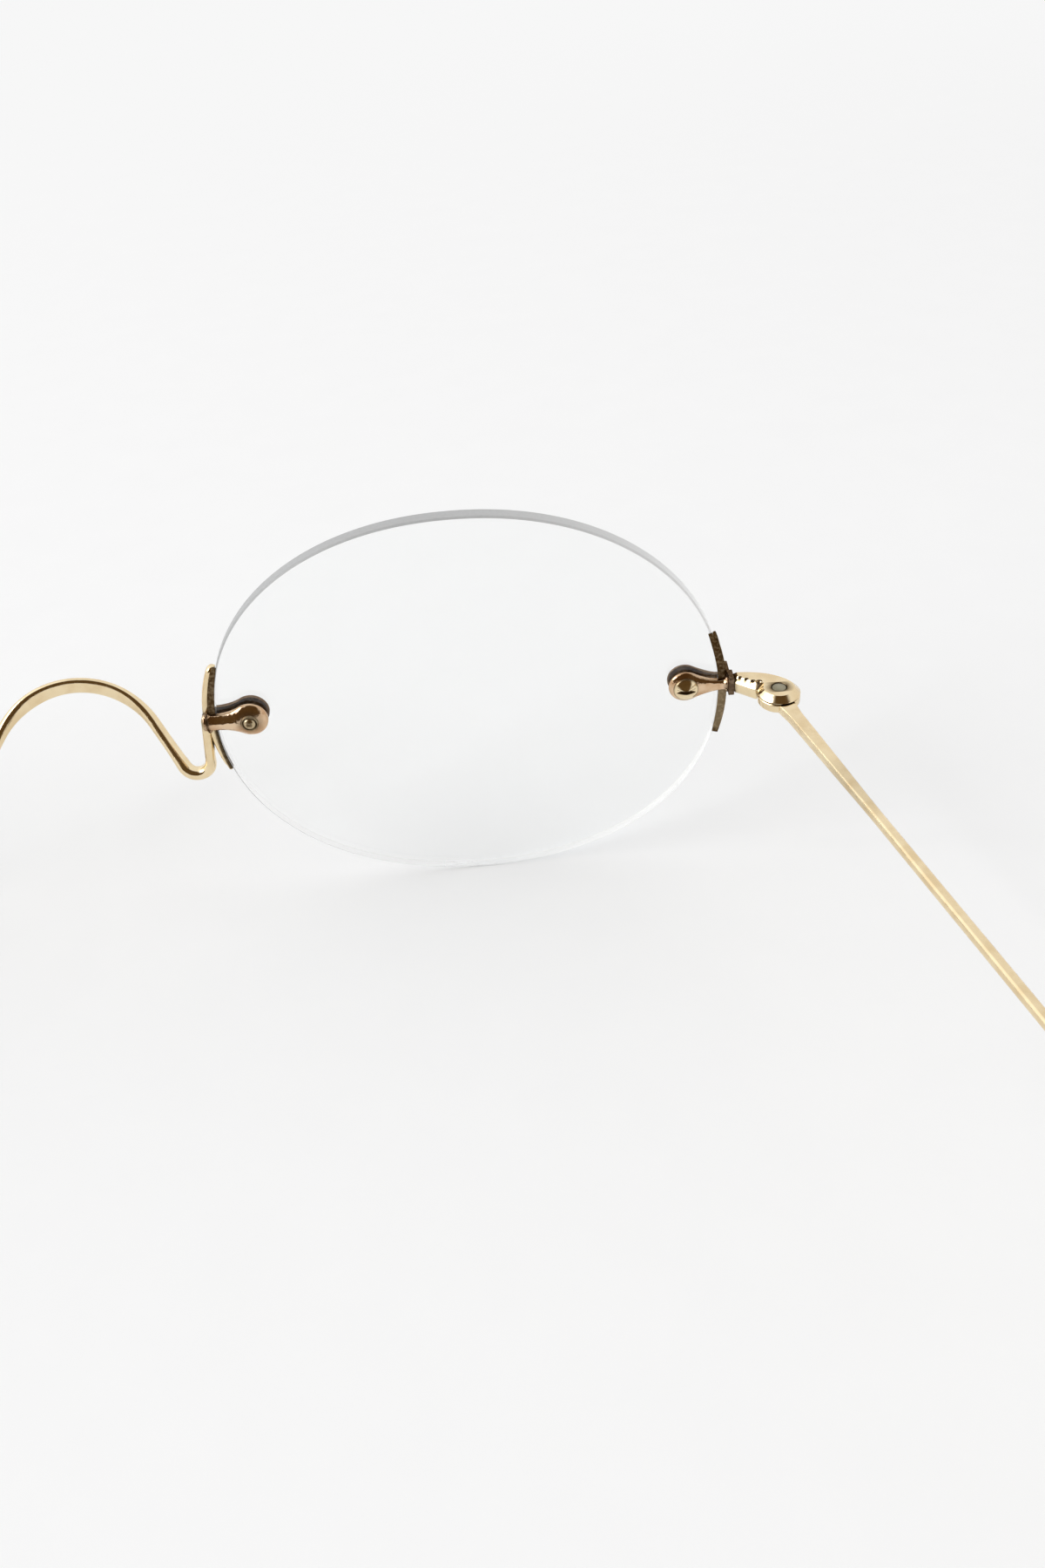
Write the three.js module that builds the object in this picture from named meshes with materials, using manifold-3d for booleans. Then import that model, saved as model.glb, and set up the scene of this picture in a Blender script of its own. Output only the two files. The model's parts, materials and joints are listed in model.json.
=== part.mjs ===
// Rimless oval spectacles with wire temples, standing open on a table.
// Millimetres. +X is the wearer's right, +Y is forward, +Z is up, and the table is z = 0.

import * as THREE from 'three';
import { mergeVertices } from 'three/addons/utils/BufferGeometryUtils.js';
import Module from 'manifold-3d';

const wasm = await Module();
wasm.setup();

// Lenses
const LENS_WIDTH = 41;
const LENS_HEIGHT = 34.4;
const LENS_FULLNESS = 2.1; // exponent of the oval, where 2 is a true ellipse
const LENS_THICKNESS = 1.3;
const LENS_BEVEL = 0.14; // safety bevel round both rims and the drilled holes
const LENS_GAP = 24.7; // from lens to lens, across the nose
const MOUNT_RISE = 0.8; // the mounts lie this far above the middle of the lens
const SCREW_INSET = 2.9; // from the edge of the lens to the screw's axis

// Edge shoes, the curved leaves that bear on the rim of the glass
const SHOE_THICKNESS = 0.32;
const SHOE_DOWN = 5.1; // from the mount to the tip of the lower leaf
const NASAL_SHOE_UP = 4.45; // from the mount to the tip of the upper leaf
const TEMPORAL_SHOE_UP = 3.75;
const SPINE_THICKNESS = 0.95; // rounded spine along the nasal shoe's upper leaf
const SPINE_WIDTH = 1.05;

// Straps, the clips with a pear-shaped ear on each face of the glass
const NASAL_EAR_DIAMETER = 2.8;
const NASAL_EAR_THICKNESS = 0.85;
const NASAL_NECK_WIDTH = 1.45;
const TEMPORAL_EAR_DIAMETER = 2.66;
const TEMPORAL_EAR_THICKNESS = 0.6;
const TEMPORAL_NECK_WIDTH = 0.95;
const TEMPORAL_DROP = 0.38; // the temporal ear and screw lie this far below the arm
const EAR_ROUNDING = 0.36;
const WEB_HEIGHT = 1.3;
const WEB_THICKNESS = 0.5;
const WEB_FRONT_THICKNESS = 0.25;
const WEB_OVERHANG = 0.45; // how far the temporal web stands behind its ear

// Lens screws
const SCREW_DIAMETER = 1.0;
const SCREW_HEAD_DIAMETER = 2.0;
const SCREW_HEAD_HEIGHT = 0.46;
const SCREW_TIP_HEIGHT = 0.22;
const SLOT_WIDTH = 0.3;
const SLOT_DEPTH = 0.3;

// Bridge, one bent wire with a flattened section, whose arch leans forward over the nose
const BRIDGE_WIRE_HEIGHT = 0.88; // in the plane of the bend
const BRIDGE_WIRE_DEPTH = 1.42; // front to back
const LOOP_DROP = 5.64; // wire's centre below the mounts
const LOOP_RADIUS = 1.27;
const LOOP_INSET = 1.72; // from the end of the leg to the middle of the loop
const CREST_RISE = 8.14; // from the lowest point of the loop, along the slope of the arch
const CREST_RADIUS = 7.54;
const ARCH_LEAN = THREE.MathUtils.degToRad(38);

// Endpieces and hinges
const ARM_HEIGHT = 1.15;
const ARM_DEPTH = 1.6;
const ARM_SETBACK = 1.2; // middle of the arm behind the middle of the glass, at the strap
const HINGE_REACH = 4.2; // from the edge of the lens to the hinge's axis
const HINGE_SETBACK = 3.3; // hinge's axis behind the middle of the glass
const HINGE_DIAMETER = 3.36;
const LEAF_THICKNESS = 0.5; // the arm is cut away to this over the temple's eyelet
const HINGE_BEVEL = 0.24;
const PIN_DIAMETER = 1.25;
const PIN_HEAD_DIAMETER = 2.3;
const PIN_HEAD_HEIGHT = 0.5;

// Temples
const EYELET_HEIGHT = 0.85;
const BLADE_LENGTH = 14;
const BLADE_ROOT_WIDTH = 1.25;
const BLADE_BEVEL = 0.16;
const WIRE_DIAMETER = 0.85;
const STRAIGHT_LENGTH = 96; // from the hinge's axis to the start of the ear bend
const EAR_BEND_RADIUS = 30;
const EAR_BEND_ANGLE = THREE.MathUtils.degToRad(40);
const SPLAY = THREE.MathUtils.degToRad(15.4); // each temple opens outwards by this

// Clearances
const GLASS_CLEARANCE = 0.05; // between the glass and the metal that grips it
const JOINT_CLEARANCE = 0.05; // between pieces that are soldered or screwed together
const BORE_CLEARANCE = 0.05; // round a screw in metal
const LENS_HOLE_CLEARANCE = 0.12; // round a screw in the glass
const HINGE_CLEARANCE = 0.1; // above and below the temple's eyelet

// Fineness of the facets
const OVAL_SEGMENTS = 96;
const SHOE_SEGMENTS = 12;
const ROUND_SEGMENTS = 20;
const ARC_SEGMENTS = 7;
const DOME_STEPS = 3;
const BRIDGE_SIDES = 12;
const BRIDGE_STEPS = 80;
const TEMPLE_SIDES = 10;
const TEMPLE_STEPS = 56;
const WELD = 1e-5;

// Values that follow from the sizes above
const HALF_WIDTH = LENS_WIDTH / 2;
const HALF_HEIGHT = LENS_HEIGHT / 2;
const HALF_GLASS = LENS_THICKNESS / 2;
const LENS_X = LENS_GAP / 2 + HALF_WIDTH;
const EYE_HEIGHT = HALF_HEIGHT * Math.cos(Math.PI / OVAL_SEGMENTS) ** (2 / LENS_FULLNESS);
const MOUNT_EDGE = lensEdge(MOUNT_RISE);
const EAR_INNER = HALF_GLASS + GLASS_CLEARANCE;
const SCREW_X = MOUNT_EDGE - SCREW_INSET;
const SHOE_OUTER = MOUNT_EDGE + GLASS_CLEARANCE + SHOE_THICKNESS;
const WEB_INNER = SHOE_OUTER + JOINT_CLEARANCE;
const WEB_OUTER = WEB_INNER + WEB_THICKNESS;
const HINGE_X = MOUNT_EDGE + HINGE_REACH;
const LEAF_TOP = MOUNT_RISE + ARM_HEIGHT / 2;
const LEAF_BOTTOM = LEAF_TOP - LEAF_THICKNESS;
const EYELET_MIDDLE = LEAF_BOTTOM - HINGE_CLEARANCE - EYELET_HEIGHT / 2;
const BORE_RADIUS = PIN_DIAMETER / 2 + BORE_CLEARANCE;

// The two kinds of mount, with how far the strap's web reaches behind the middle of the glass
const NASAL = {
  ear: NASAL_EAR_DIAMETER,
  thickness: NASAL_EAR_THICKNESS,
  neck: NASAL_NECK_WIDTH,
  drop: 0,
  webRear: EAR_INNER + NASAL_EAR_THICKNESS / 2,
  webFront: WEB_THICKNESS,
  shoeUp: NASAL_SHOE_UP,
};
const TEMPORAL = {
  ear: TEMPORAL_EAR_DIAMETER,
  thickness: TEMPORAL_EAR_THICKNESS,
  neck: TEMPORAL_NECK_WIDTH,
  drop: TEMPORAL_DROP,
  webRear: EAR_INNER + TEMPORAL_EAR_THICKNESS + WEB_OVERHANG,
  webFront: WEB_FRONT_THICKNESS,
  shoeUp: TEMPORAL_SHOE_UP,
};

function lensEdge(z) {
  return HALF_WIDTH * (1 - Math.abs(z / HALF_HEIGHT) ** LENS_FULLNESS) ** (1 / LENS_FULLNESS);
}

// A closed geometry as a solid that can be joined and cut
function solid(geometry) {
  const bare = geometry.clone();
  bare.deleteAttribute('normal');
  bare.deleteAttribute('uv');
  const merged = mergeVertices(bare, WELD);
  const corners = merged.index.array;
  const triangles = [];
  for (let i = 0; i < corners.length; i += 3) {
    const [a, b, c] = corners.slice(i, i + 3);
    if (a !== b && b !== c && c !== a) {
      triangles.push(a, b, c);
    }
  }
  return new wasm.Manifold(new wasm.Mesh({
    numProp: 3,
    vertProperties: new Float32Array(merged.attributes.position.array),
    triVerts: new Uint32Array(triangles),
  }));
}

function geometryOf(body) {
  const mesh = body.getMesh();
  const geometry = new THREE.BufferGeometry();
  geometry.setAttribute('position', new THREE.BufferAttribute(mesh.vertProperties, 3));
  geometry.setIndex(new THREE.BufferAttribute(mesh.triVerts, 1));
  return geometry;
}

// The same geometry on the other side of x = 0, with its faces still pointing out
function mirrored(geometry) {
  const copy = geometry.clone().applyMatrix4(new THREE.Matrix4().makeScale(-1, 1, 1));
  const corners = copy.index.array;
  for (let i = 0; i < corners.length; i += 3) {
    [corners[i], corners[i + 1]] = [corners[i + 1], corners[i]];
  }
  return copy;
}

// An outline in x and y, raised to a plate of this height about z = 0, with its edges rounded
function plate(shape, height, rounding, steps = 1) {
  const core = height - 2 * rounding;
  const geometry = new THREE.ExtrudeGeometry(shape, {
    depth: core,
    bevelThickness: rounding,
    bevelSize: rounding,
    bevelOffset: -rounding,
    bevelSegments: steps,
    curveSegments: ARC_SEGMENTS,
  });
  return geometry.translate(0, 0, -core / 2);
}

// A plate whose outline is in x and z, and whose thickness runs along y
function uprightPlate(shape, depth, rounding, steps = 1) {
  return plate(shape, depth, rounding, steps).rotateX(Math.PI / 2);
}

function box(low, high) {
  const size = new THREE.Vector3().subVectors(high, low);
  const middle = new THREE.Vector3().addVectors(low, high).multiplyScalar(0.5);
  return new THREE.BoxGeometry(size.x, size.y, size.z).translate(middle.x, middle.y, middle.z);
}

function rod(radius, length) {
  return new THREE.CylinderGeometry(radius, radius, length, ROUND_SEGMENTS);
}

function circle(x, y, radius) {
  const path = new THREE.Path();
  for (let i = 0; i < ROUND_SEGMENTS; i += 1) {
    const angle = (2 * Math.PI * i) / ROUND_SEGMENTS;
    const px = x + radius * Math.cos(angle);
    const py = y + radius * Math.sin(angle);
    if (i === 0) {
      path.moveTo(px, py);
    } else {
      path.lineTo(px, py);
    }
  }
  path.closePath();
  return path;
}

// An arc in the plane that two axes span
class Arc extends THREE.Curve {
  constructor(centre, radius, from, to, across, upward) {
    super();
    Object.assign(this, { centre, radius, from, to, across, upward });
  }

  getPoint(t, target = new THREE.Vector3()) {
    const angle = THREE.MathUtils.lerp(this.from, this.to, t);
    return target
      .copy(this.centre)
      .addScaledVector(this.across, this.radius * Math.cos(angle))
      .addScaledVector(this.upward, this.radius * Math.sin(angle));
  }
}

// A wire of oval section drawn along a path
function wire(path, width, height, sides, steps) {
  const section = new THREE.Shape();
  for (let i = 0; i < sides; i += 1) {
    const angle = (2 * Math.PI * (i + 0.5)) / sides;
    const px = (width / 2) * Math.cos(angle);
    const py = (height / 2) * Math.sin(angle);
    if (i === 0) {
      section.moveTo(px, py);
    } else {
      section.lineTo(px, py);
    }
  }
  section.closePath();
  return new THREE.ExtrudeGeometry(section, { steps, extrudePath: path });
}

// Lens: a flat oval plate with a flat facet at its lowest point, drilled for its two screws,
// of which the temporal one is at +x
function lensGeometry() {
  const outline = new THREE.Shape();
  for (let i = 0; i < OVAL_SEGMENTS; i += 1) {
    const angle = (2 * Math.PI * (i + 0.5)) / OVAL_SEGMENTS;
    const c = Math.cos(angle);
    const s = Math.sin(angle);
    const x = HALF_WIDTH * Math.sign(c) * Math.abs(c) ** (2 / LENS_FULLNESS);
    const z = HALF_HEIGHT * Math.sign(s) * Math.abs(s) ** (2 / LENS_FULLNESS);
    if (i === 0) {
      outline.moveTo(x, z);
    } else {
      outline.lineTo(x, z);
    }
  }
  outline.closePath();
  const holeRadius = SCREW_DIAMETER / 2 + LENS_HOLE_CLEARANCE;
  outline.holes.push(circle(SCREW_X, MOUNT_RISE - TEMPORAL.drop, holeRadius));
  outline.holes.push(circle(-SCREW_X, MOUNT_RISE - NASAL.drop, holeRadius));
  return geometryOf(solid(uprightPlate(outline, LENS_THICKNESS, LENS_BEVEL)));
}

// Points along the edge of the glass, at this distance outside it
function alongEdge(from, to, distance) {
  const points = [];
  const step = (to - from) / SHOE_SEGMENTS;
  for (let i = 0; i <= SHOE_SEGMENTS; i += 1) {
    const z = from + step * i;
    const along = new THREE.Vector2(lensEdge(z + step / 2) - lensEdge(z - step / 2), step).normalize();
    const out = new THREE.Vector2(along.y, -along.x);
    points.push(new THREE.Vector2(lensEdge(z), z).addScaledVector(out, distance));
  }
  return points;
}

// Shoe: a leaf that follows the edge of the glass above and below the mount
function shoeGeometry(mount) {
  const low = MOUNT_RISE - SHOE_DOWN;
  const high = MOUNT_RISE + mount.shoeUp;
  const inner = alongEdge(low, high, GLASS_CLEARANCE);
  const outer = alongEdge(low, high, GLASS_CLEARANCE + SHOE_THICKNESS);
  const outline = new THREE.Shape([...outer, ...inner.reverse()]);
  return geometryOf(solid(uprightPlate(outline, LENS_THICKNESS, SHOE_THICKNESS / 6)));
}

// The nasal shoe also has a rounded spine, from the strap up to the tip of its upper leaf
function nasalShoeGeometry() {
  const low = MOUNT_RISE + WEB_HEIGHT / 2 + JOINT_CLEARANCE;
  const high = MOUNT_RISE + NASAL.shoeUp;
  const middle = alongEdge(low, high, GLASS_CLEARANCE + SPINE_THICKNESS / 2);
  const path = new THREE.CatmullRomCurve3(middle.map((p) => new THREE.Vector3(p.x, 0, p.y)));
  const spine = solid(wire(path, SPINE_WIDTH, SPINE_THICKNESS, BRIDGE_SIDES, SHOE_SEGMENTS / 2));
  return geometryOf(solid(shoeGeometry(NASAL)).add(spine));
}

// Ear: a pear-shaped outline, from the web in to the screw
function earOutline(mount) {
  const neck = mount.neck / 2;
  const radius = mount.ear / 2;
  const shoulder = SCREW_INSET / 2;
  const turn = THREE.MathUtils.degToRad(60);
  const joinX = SCREW_X + radius * Math.cos(turn);
  const joinZ = radius * Math.sin(turn);
  const slopeX = shoulder * Math.sin(turn) / 2;
  const slopeZ = shoulder * Math.cos(turn) / 2;
  const outline = new THREE.Shape();
  outline.moveTo(WEB_OUTER - WEB_THICKNESS / 4, -neck);
  outline.lineTo(WEB_OUTER - WEB_THICKNESS / 4, neck);
  outline.lineTo(MOUNT_EDGE, neck);
  outline.bezierCurveTo(
    MOUNT_EDGE - shoulder / 2, neck,
    joinX + slopeX, joinZ - slopeZ,
    joinX, joinZ,
  );
  outline.absarc(SCREW_X, 0, radius, turn, 2 * Math.PI - turn, false);
  outline.bezierCurveTo(
    joinX + slopeX, slopeZ - joinZ,
    MOUNT_EDGE - shoulder / 2, -neck,
    MOUNT_EDGE, -neck,
  );
  return outline;
}

// Strap: a web outside the shoe, with a domed ear on each face of the glass
function strapGeometry(mount) {
  const pillow = uprightPlate(earOutline(mount), 2 * mount.thickness, EAR_ROUNDING, DOME_STEPS);
  const far = WEB_OUTER + WEB_THICKNESS;
  const frontHalf = solid(box(
    new THREE.Vector3(0, 0, -mount.ear),
    new THREE.Vector3(far, 2 * mount.thickness, mount.ear),
  ));
  const rearHalf = solid(box(
    new THREE.Vector3(0, -2 * mount.thickness, -mount.ear),
    new THREE.Vector3(far, 0, mount.ear),
  ));
  const frontEar = solid(pillow).intersect(frontHalf).translate([0, EAR_INNER, 0]);
  const rearEar = solid(pillow).intersect(rearHalf).translate([0, -EAR_INNER, 0]);
  const bore = rod(SCREW_DIAMETER / 2 + BORE_CLEARANCE, 4 * (EAR_INNER + mount.thickness));
  const ears = frontEar.add(rearEar).subtract(solid(bore.translate(SCREW_X, 0, 0)));
  const frontEnd = EAR_INNER + mount.thickness / 2;
  const plan = new THREE.Shape();
  plan.moveTo(WEB_INNER, -mount.webRear);
  plan.lineTo(WEB_OUTER, -mount.webRear);
  plan.lineTo(WEB_OUTER, -ARM_SETBACK + ARM_DEPTH / 2);
  plan.lineTo(WEB_INNER + mount.webFront, frontEnd);
  plan.lineTo(WEB_INNER, frontEnd);
  plan.closePath();
  const web = solid(plate(plan, WEB_HEIGHT, WEB_FRONT_THICKNESS / 4));
  const body = web.add(ears.translate([0, 0, -mount.drop]));
  return geometryOf(body).translate(0, 0, MOUNT_RISE);
}

// A fastener turned about y, with its slotted head at the low end and a rounded tip at the high end
function fastener(shank, head, headHeight, tipStart, tipHeight, domed) {
  const profile = [new THREE.Vector2(0, -headHeight)];
  if (domed) {
    for (let i = 1; i <= DOME_STEPS; i += 1) {
      const angle = (Math.PI / 2) * (i / DOME_STEPS);
      const y = -headHeight * Math.cos(angle);
      profile.push(new THREE.Vector2((head / 2) * Math.sin(angle), y));
    }
  } else {
    profile.push(new THREE.Vector2(head / 2 - headHeight / 4, -headHeight));
    profile.push(new THREE.Vector2(head / 2, -headHeight * 0.75));
    profile.push(new THREE.Vector2(head / 2, 0));
  }
  profile.push(new THREE.Vector2(shank / 2, 0));
  profile.push(new THREE.Vector2(shank / 2, tipStart));
  for (let i = 1; i < DOME_STEPS; i += 1) {
    const angle = (Math.PI / 2) * (i / DOME_STEPS);
    const y = tipStart + tipHeight * Math.sin(angle);
    profile.push(new THREE.Vector2((shank / 2) * Math.cos(angle), y));
  }
  profile.push(new THREE.Vector2(0, tipStart + tipHeight));
  const turned = solid(new THREE.LatheGeometry(profile, ROUND_SEGMENTS));
  const slot = solid(box(
    new THREE.Vector3(-head, -2 * headHeight, -SLOT_WIDTH / 2),
    new THREE.Vector3(head, -headHeight + SLOT_DEPTH, SLOT_WIDTH / 2),
  ));
  return geometryOf(turned.subtract(slot));
}

// Lens screw, with its head behind the glass
function lensScrewGeometry(mount) {
  const face = EAR_INNER + mount.thickness;
  const seat = face + JOINT_CLEARANCE;
  const screw = fastener(
    SCREW_DIAMETER,
    SCREW_HEAD_DIAMETER,
    SCREW_HEAD_HEIGHT,
    seat + face,
    SCREW_TIP_HEIGHT,
    true,
  );
  return screw.translate(SCREW_X, -seat, MOUNT_RISE - mount.drop);
}

// Endpiece: an arm that leaves the strap and turns back to a thin round hinge leaf
function endpieceGeometry() {
  const start = WEB_OUTER + JOINT_CLEARANCE;
  const front = -ARM_SETBACK + ARM_DEPTH / 2;
  const rear = -ARM_SETBACK - ARM_DEPTH / 2;
  const radius = HINGE_DIAMETER / 2;
  const outerTurn = THREE.MathUtils.degToRad(30);
  const innerTurn = THREE.MathUtils.degToRad(165);
  const outerX = HINGE_X + radius * Math.cos(outerTurn);
  const outerY = -HINGE_SETBACK + radius * Math.sin(outerTurn);
  const innerX = HINGE_X + radius * Math.cos(innerTurn);
  const innerY = -HINGE_SETBACK + radius * Math.sin(innerTurn);
  const shoulder = (outerX - start) / 2;
  const outline = new THREE.Shape();
  outline.moveTo(start, rear);
  outline.quadraticCurveTo((start + innerX) / 2, rear, innerX, innerY);
  outline.absarc(HINGE_X, -HINGE_SETBACK, radius, innerTurn, outerTurn + 2 * Math.PI, false);
  outline.bezierCurveTo(
    outerX - shoulder * Math.sin(outerTurn) / 2, outerY + shoulder * Math.cos(outerTurn) / 2,
    start + shoulder, front,
    start, front,
  );
  outline.closePath();
  const arm = solid(plate(outline, ARM_HEIGHT, HINGE_BEVEL, 2).translate(0, 0, MOUNT_RISE));
  const bore = rod(BORE_RADIUS, 2 * ARM_HEIGHT).rotateX(Math.PI / 2);

  // Room under the leaf for the eyelet, and for the blade when the temple is folded
  const eyeletRoom = rod(radius + HINGE_CLEARANCE, ARM_HEIGHT).rotateX(Math.PI / 2);
  const bladeRoom = box(
    new THREE.Vector3(start - HINGE_X, -radius, LEAF_BOTTOM - ARM_HEIGHT),
    new THREE.Vector3(0, BLADE_ROOT_WIDTH / 2 + HINGE_CLEARANCE, LEAF_BOTTOM),
  );
  const body = arm
    .subtract(solid(bore.translate(HINGE_X, -HINGE_SETBACK, LEAF_TOP)))
    .subtract(solid(eyeletRoom.translate(HINGE_X, -HINGE_SETBACK, LEAF_BOTTOM - ARM_HEIGHT / 2)))
    .subtract(solid(bladeRoom.translate(HINGE_X, -HINGE_SETBACK, 0)));
  return geometryOf(body);
}

// Hinge screw: its head is under the eyelet, and its end is flush with the top of the leaf
function hingeScrewGeometry() {
  const seat = EYELET_MIDDLE - EYELET_HEIGHT / 2 - HINGE_CLEARANCE;
  const chamfer = HINGE_BEVEL / 4;
  const screw = fastener(
    PIN_DIAMETER,
    PIN_HEAD_DIAMETER,
    PIN_HEAD_HEIGHT,
    LEAF_TOP - chamfer - seat,
    chamfer,
    false,
  );
  return screw.rotateX(Math.PI / 2).translate(HINGE_X, -HINGE_SETBACK, seat);
}

// Bridge: legs under the straps, a small loop on each side and a wide arch that leans forward
function bridgeGeometry() {
  const xAxis = new THREE.Vector3(1, 0, 0);
  const zAxis = new THREE.Vector3(0, 0, 1);
  const point = (x, z) => new THREE.Vector3(x, 0, z);
  const endX = LENS_X - SHOE_OUTER - JOINT_CLEARANCE - BRIDGE_WIRE_HEIGHT / 2;
  const endZ = MOUNT_RISE - WEB_HEIGHT / 2 - JOINT_CLEARANCE;
  const lowest = MOUNT_RISE - LOOP_DROP;
  const crest = point(0, lowest + CREST_RISE - CREST_RADIUS);
  const loop = point(endX - LOOP_INSET, lowest + LOOP_RADIUS);

  // The flank touches the crest on one side and the loop on the other
  const between = new THREE.Vector3().subVectors(loop, crest);
  const bearing = Math.atan2(between.z, between.x);
  const flank = bearing + Math.acos((CREST_RADIUS + LOOP_RADIUS) / between.length());

  // The leg touches the outer side of the loop
  const rise = new THREE.Vector3(endX - loop.x, 0, endZ - loop.z);
  const leg = Math.atan2(rise.z, rise.x) - Math.acos(LOOP_RADIUS / rise.length());

  // Half of the wire, flat, from the end of the leg to the top of the crest
  const turn = new Arc(loop, LOOP_RADIUS, leg, flank - Math.PI, xAxis, zAxis);
  const top = new Arc(crest, CREST_RADIUS, flank, Math.PI / 2, xAxis, zAxis);
  const half = new THREE.CurvePath();
  half.curves.push(
    new THREE.LineCurve3(point(endX, endZ), turn.getPoint(0)),
    turn,
    new THREE.LineCurve3(turn.getPoint(1), top.getPoint(0)),
    top,
  );

  // What lies beyond the lowest point of the loop is tilted forward, and then mirrored
  const hinge = point(0, lowest);
  const tilted = (p) => p.clone().sub(hinge).applyAxisAngle(xAxis, -ARCH_LEAN).add(hinge);
  const right = half.getSpacedPoints(BRIDGE_STEPS / 2).map((p) => (p.x < loop.x ? tilted(p) : p));
  const left = right.slice(0, -1).reverse().map((p) => new THREE.Vector3(-p.x, p.y, p.z));
  const path = new THREE.CatmullRomCurve3([...right, ...left]);
  const bent = wire(path, BRIDGE_WIRE_DEPTH, BRIDGE_WIRE_HEIGHT, BRIDGE_SIDES, BRIDGE_STEPS);
  return geometryOf(solid(bent));
}

// Temple, along -y from its hinge: an eyelet, a tapered blade, a straight wire and an ear bend
function templeGeometry() {
  const radius = HINGE_DIAMETER / 2;
  const root = BLADE_ROOT_WIDTH / 2;
  const wireRadius = WIRE_DIAMETER / 2;
  const meet = Math.asin(root / radius);
  const outline = new THREE.Shape();
  outline.moveTo(-root, -radius * Math.cos(meet));
  outline.lineTo(-wireRadius, -BLADE_LENGTH);
  outline.lineTo(wireRadius, -BLADE_LENGTH);
  outline.lineTo(root, -radius * Math.cos(meet));
  outline.absarc(0, 0, radius, meet - Math.PI / 2, 1.5 * Math.PI - meet, false);
  outline.holes.push(circle(0, 0, BORE_RADIUS));
  const blade = solid(plate(outline, EYELET_HEIGHT, BLADE_BEVEL));

  // The tail is as long as it takes for its tip to reach the table
  const drop = EYE_HEIGHT + EYELET_MIDDLE - wireRadius;
  const bendDrop = EAR_BEND_RADIUS * (1 - Math.cos(EAR_BEND_ANGLE));
  const tail = (drop - bendDrop) / Math.sin(EAR_BEND_ANGLE);
  const back = new THREE.Vector3(0, -1, 0);
  const up = new THREE.Vector3(0, 0, 1);
  const bendStart = new THREE.Vector3(0, -STRAIGHT_LENGTH, 0);
  const bendCentre = bendStart.clone().addScaledVector(up, -EAR_BEND_RADIUS);
  const quarter = Math.PI / 2;
  const bend = new Arc(bendCentre, EAR_BEND_RADIUS, quarter, quarter - EAR_BEND_ANGLE, back, up);
  const bendEnd = bend.getPoint(1);
  const tip = bendEnd.clone()
    .addScaledVector(back, tail * Math.cos(EAR_BEND_ANGLE))
    .addScaledVector(up, -tail * Math.sin(EAR_BEND_ANGLE));
  const path = new THREE.CurvePath();
  path.curves.push(
    new THREE.LineCurve3(new THREE.Vector3(0, -BLADE_LENGTH + WIRE_DIAMETER, 0), bendStart),
    bend,
    new THREE.LineCurve3(bendEnd, tip),
  );
  const shaft = solid(wire(path, WIRE_DIAMETER, WIRE_DIAMETER, TEMPLE_SIDES, TEMPLE_STEPS));
  const ball = new THREE.SphereGeometry(wireRadius, TEMPLE_SIDES, TEMPLE_SIDES);
  const end = solid(ball.rotateX(Math.PI / 2).translate(tip.x, tip.y, tip.z));
  return geometryOf(blade.add(shaft).add(end));
}

function gold(color = 0xd9b777) {
  return new THREE.MeshStandardMaterial({ color, roughness: 0.24, metalness: 1 });
}

function steel() {
  return new THREE.MeshStandardMaterial({ color: 0x9b988a, roughness: 0.4, metalness: 1 });
}

function glass() {
  return new THREE.MeshStandardMaterial({
    color: 0xf4f7f6,
    roughness: 0.02,
    metalness: 0,
    transparent: true,
    opacity: 0.25,
  });
}

function addPiece(parent, name, geometry, material) {
  const mesh = new THREE.Mesh(geometry, material);
  mesh.name = name;
  mesh.geometry.computeVertexNormals();
  parent.add(mesh);
  return mesh;
}

// Every piece of one side, drawn for +x
const lens = lensGeometry();
const nasalShoe = nasalShoeGeometry();
const temporalShoe = shoeGeometry(TEMPORAL);
const nasalStrap = strapGeometry(NASAL);
const temporalStrap = strapGeometry(TEMPORAL);
const nasalScrew = mirrored(lensScrewGeometry(NASAL).rotateZ(Math.PI)); // its head is in front
const temporalScrew = lensScrewGeometry(TEMPORAL);
const endpiece = endpieceGeometry();
const hingeScrew = hingeScrewGeometry();
const temple = templeGeometry();

// One side of the spectacles: +1 is the wearer's right, -1 the left
function addSide(front, name, side) {
  const outward = (geometry) => (side > 0 ? geometry.clone() : mirrored(geometry));
  const inward = (geometry) => (side > 0 ? mirrored(geometry) : geometry.clone());
  const eye = new THREE.Group();
  eye.position.set(side * LENS_X, 0, EYE_HEIGHT);
  front.add(eye);
  addPiece(eye, `lens_${name}`, outward(lens), glass());
  addPiece(eye, `nasal_shoe_${name}`, inward(nasalShoe), gold());
  addPiece(eye, `nasal_strap_${name}`, inward(nasalStrap), gold(0xd6ab78));
  addPiece(eye, `nasal_screw_${name}`, inward(nasalScrew), gold());
  addPiece(eye, `temporal_shoe_${name}`, outward(temporalShoe), gold());
  addPiece(eye, `temporal_strap_${name}`, outward(temporalStrap), gold(0xd6ab78));
  addPiece(eye, `temporal_screw_${name}`, outward(temporalScrew), gold());
  addPiece(eye, `endpiece_${name}`, outward(endpiece), gold());
  addPiece(eye, `hinge_screw_${name}`, outward(hingeScrew), steel());
  const hinge = new THREE.Group();
  hinge.position.set(side * HINGE_X, -HINGE_SETBACK, EYELET_MIDDLE);
  hinge.rotation.z = side * SPLAY;
  eye.add(hinge);
  addPiece(hinge, `temple_${name}`, outward(temple), gold(0xdfc07f));
}

const spectacles = new THREE.Group();
addSide(spectacles, 'right', 1);
addSide(spectacles, 'left', -1);
const middle = new THREE.Group();
middle.position.z = EYE_HEIGHT;
spectacles.add(middle);
addPiece(middle, 'bridge', bridgeGeometry(), gold());

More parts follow.
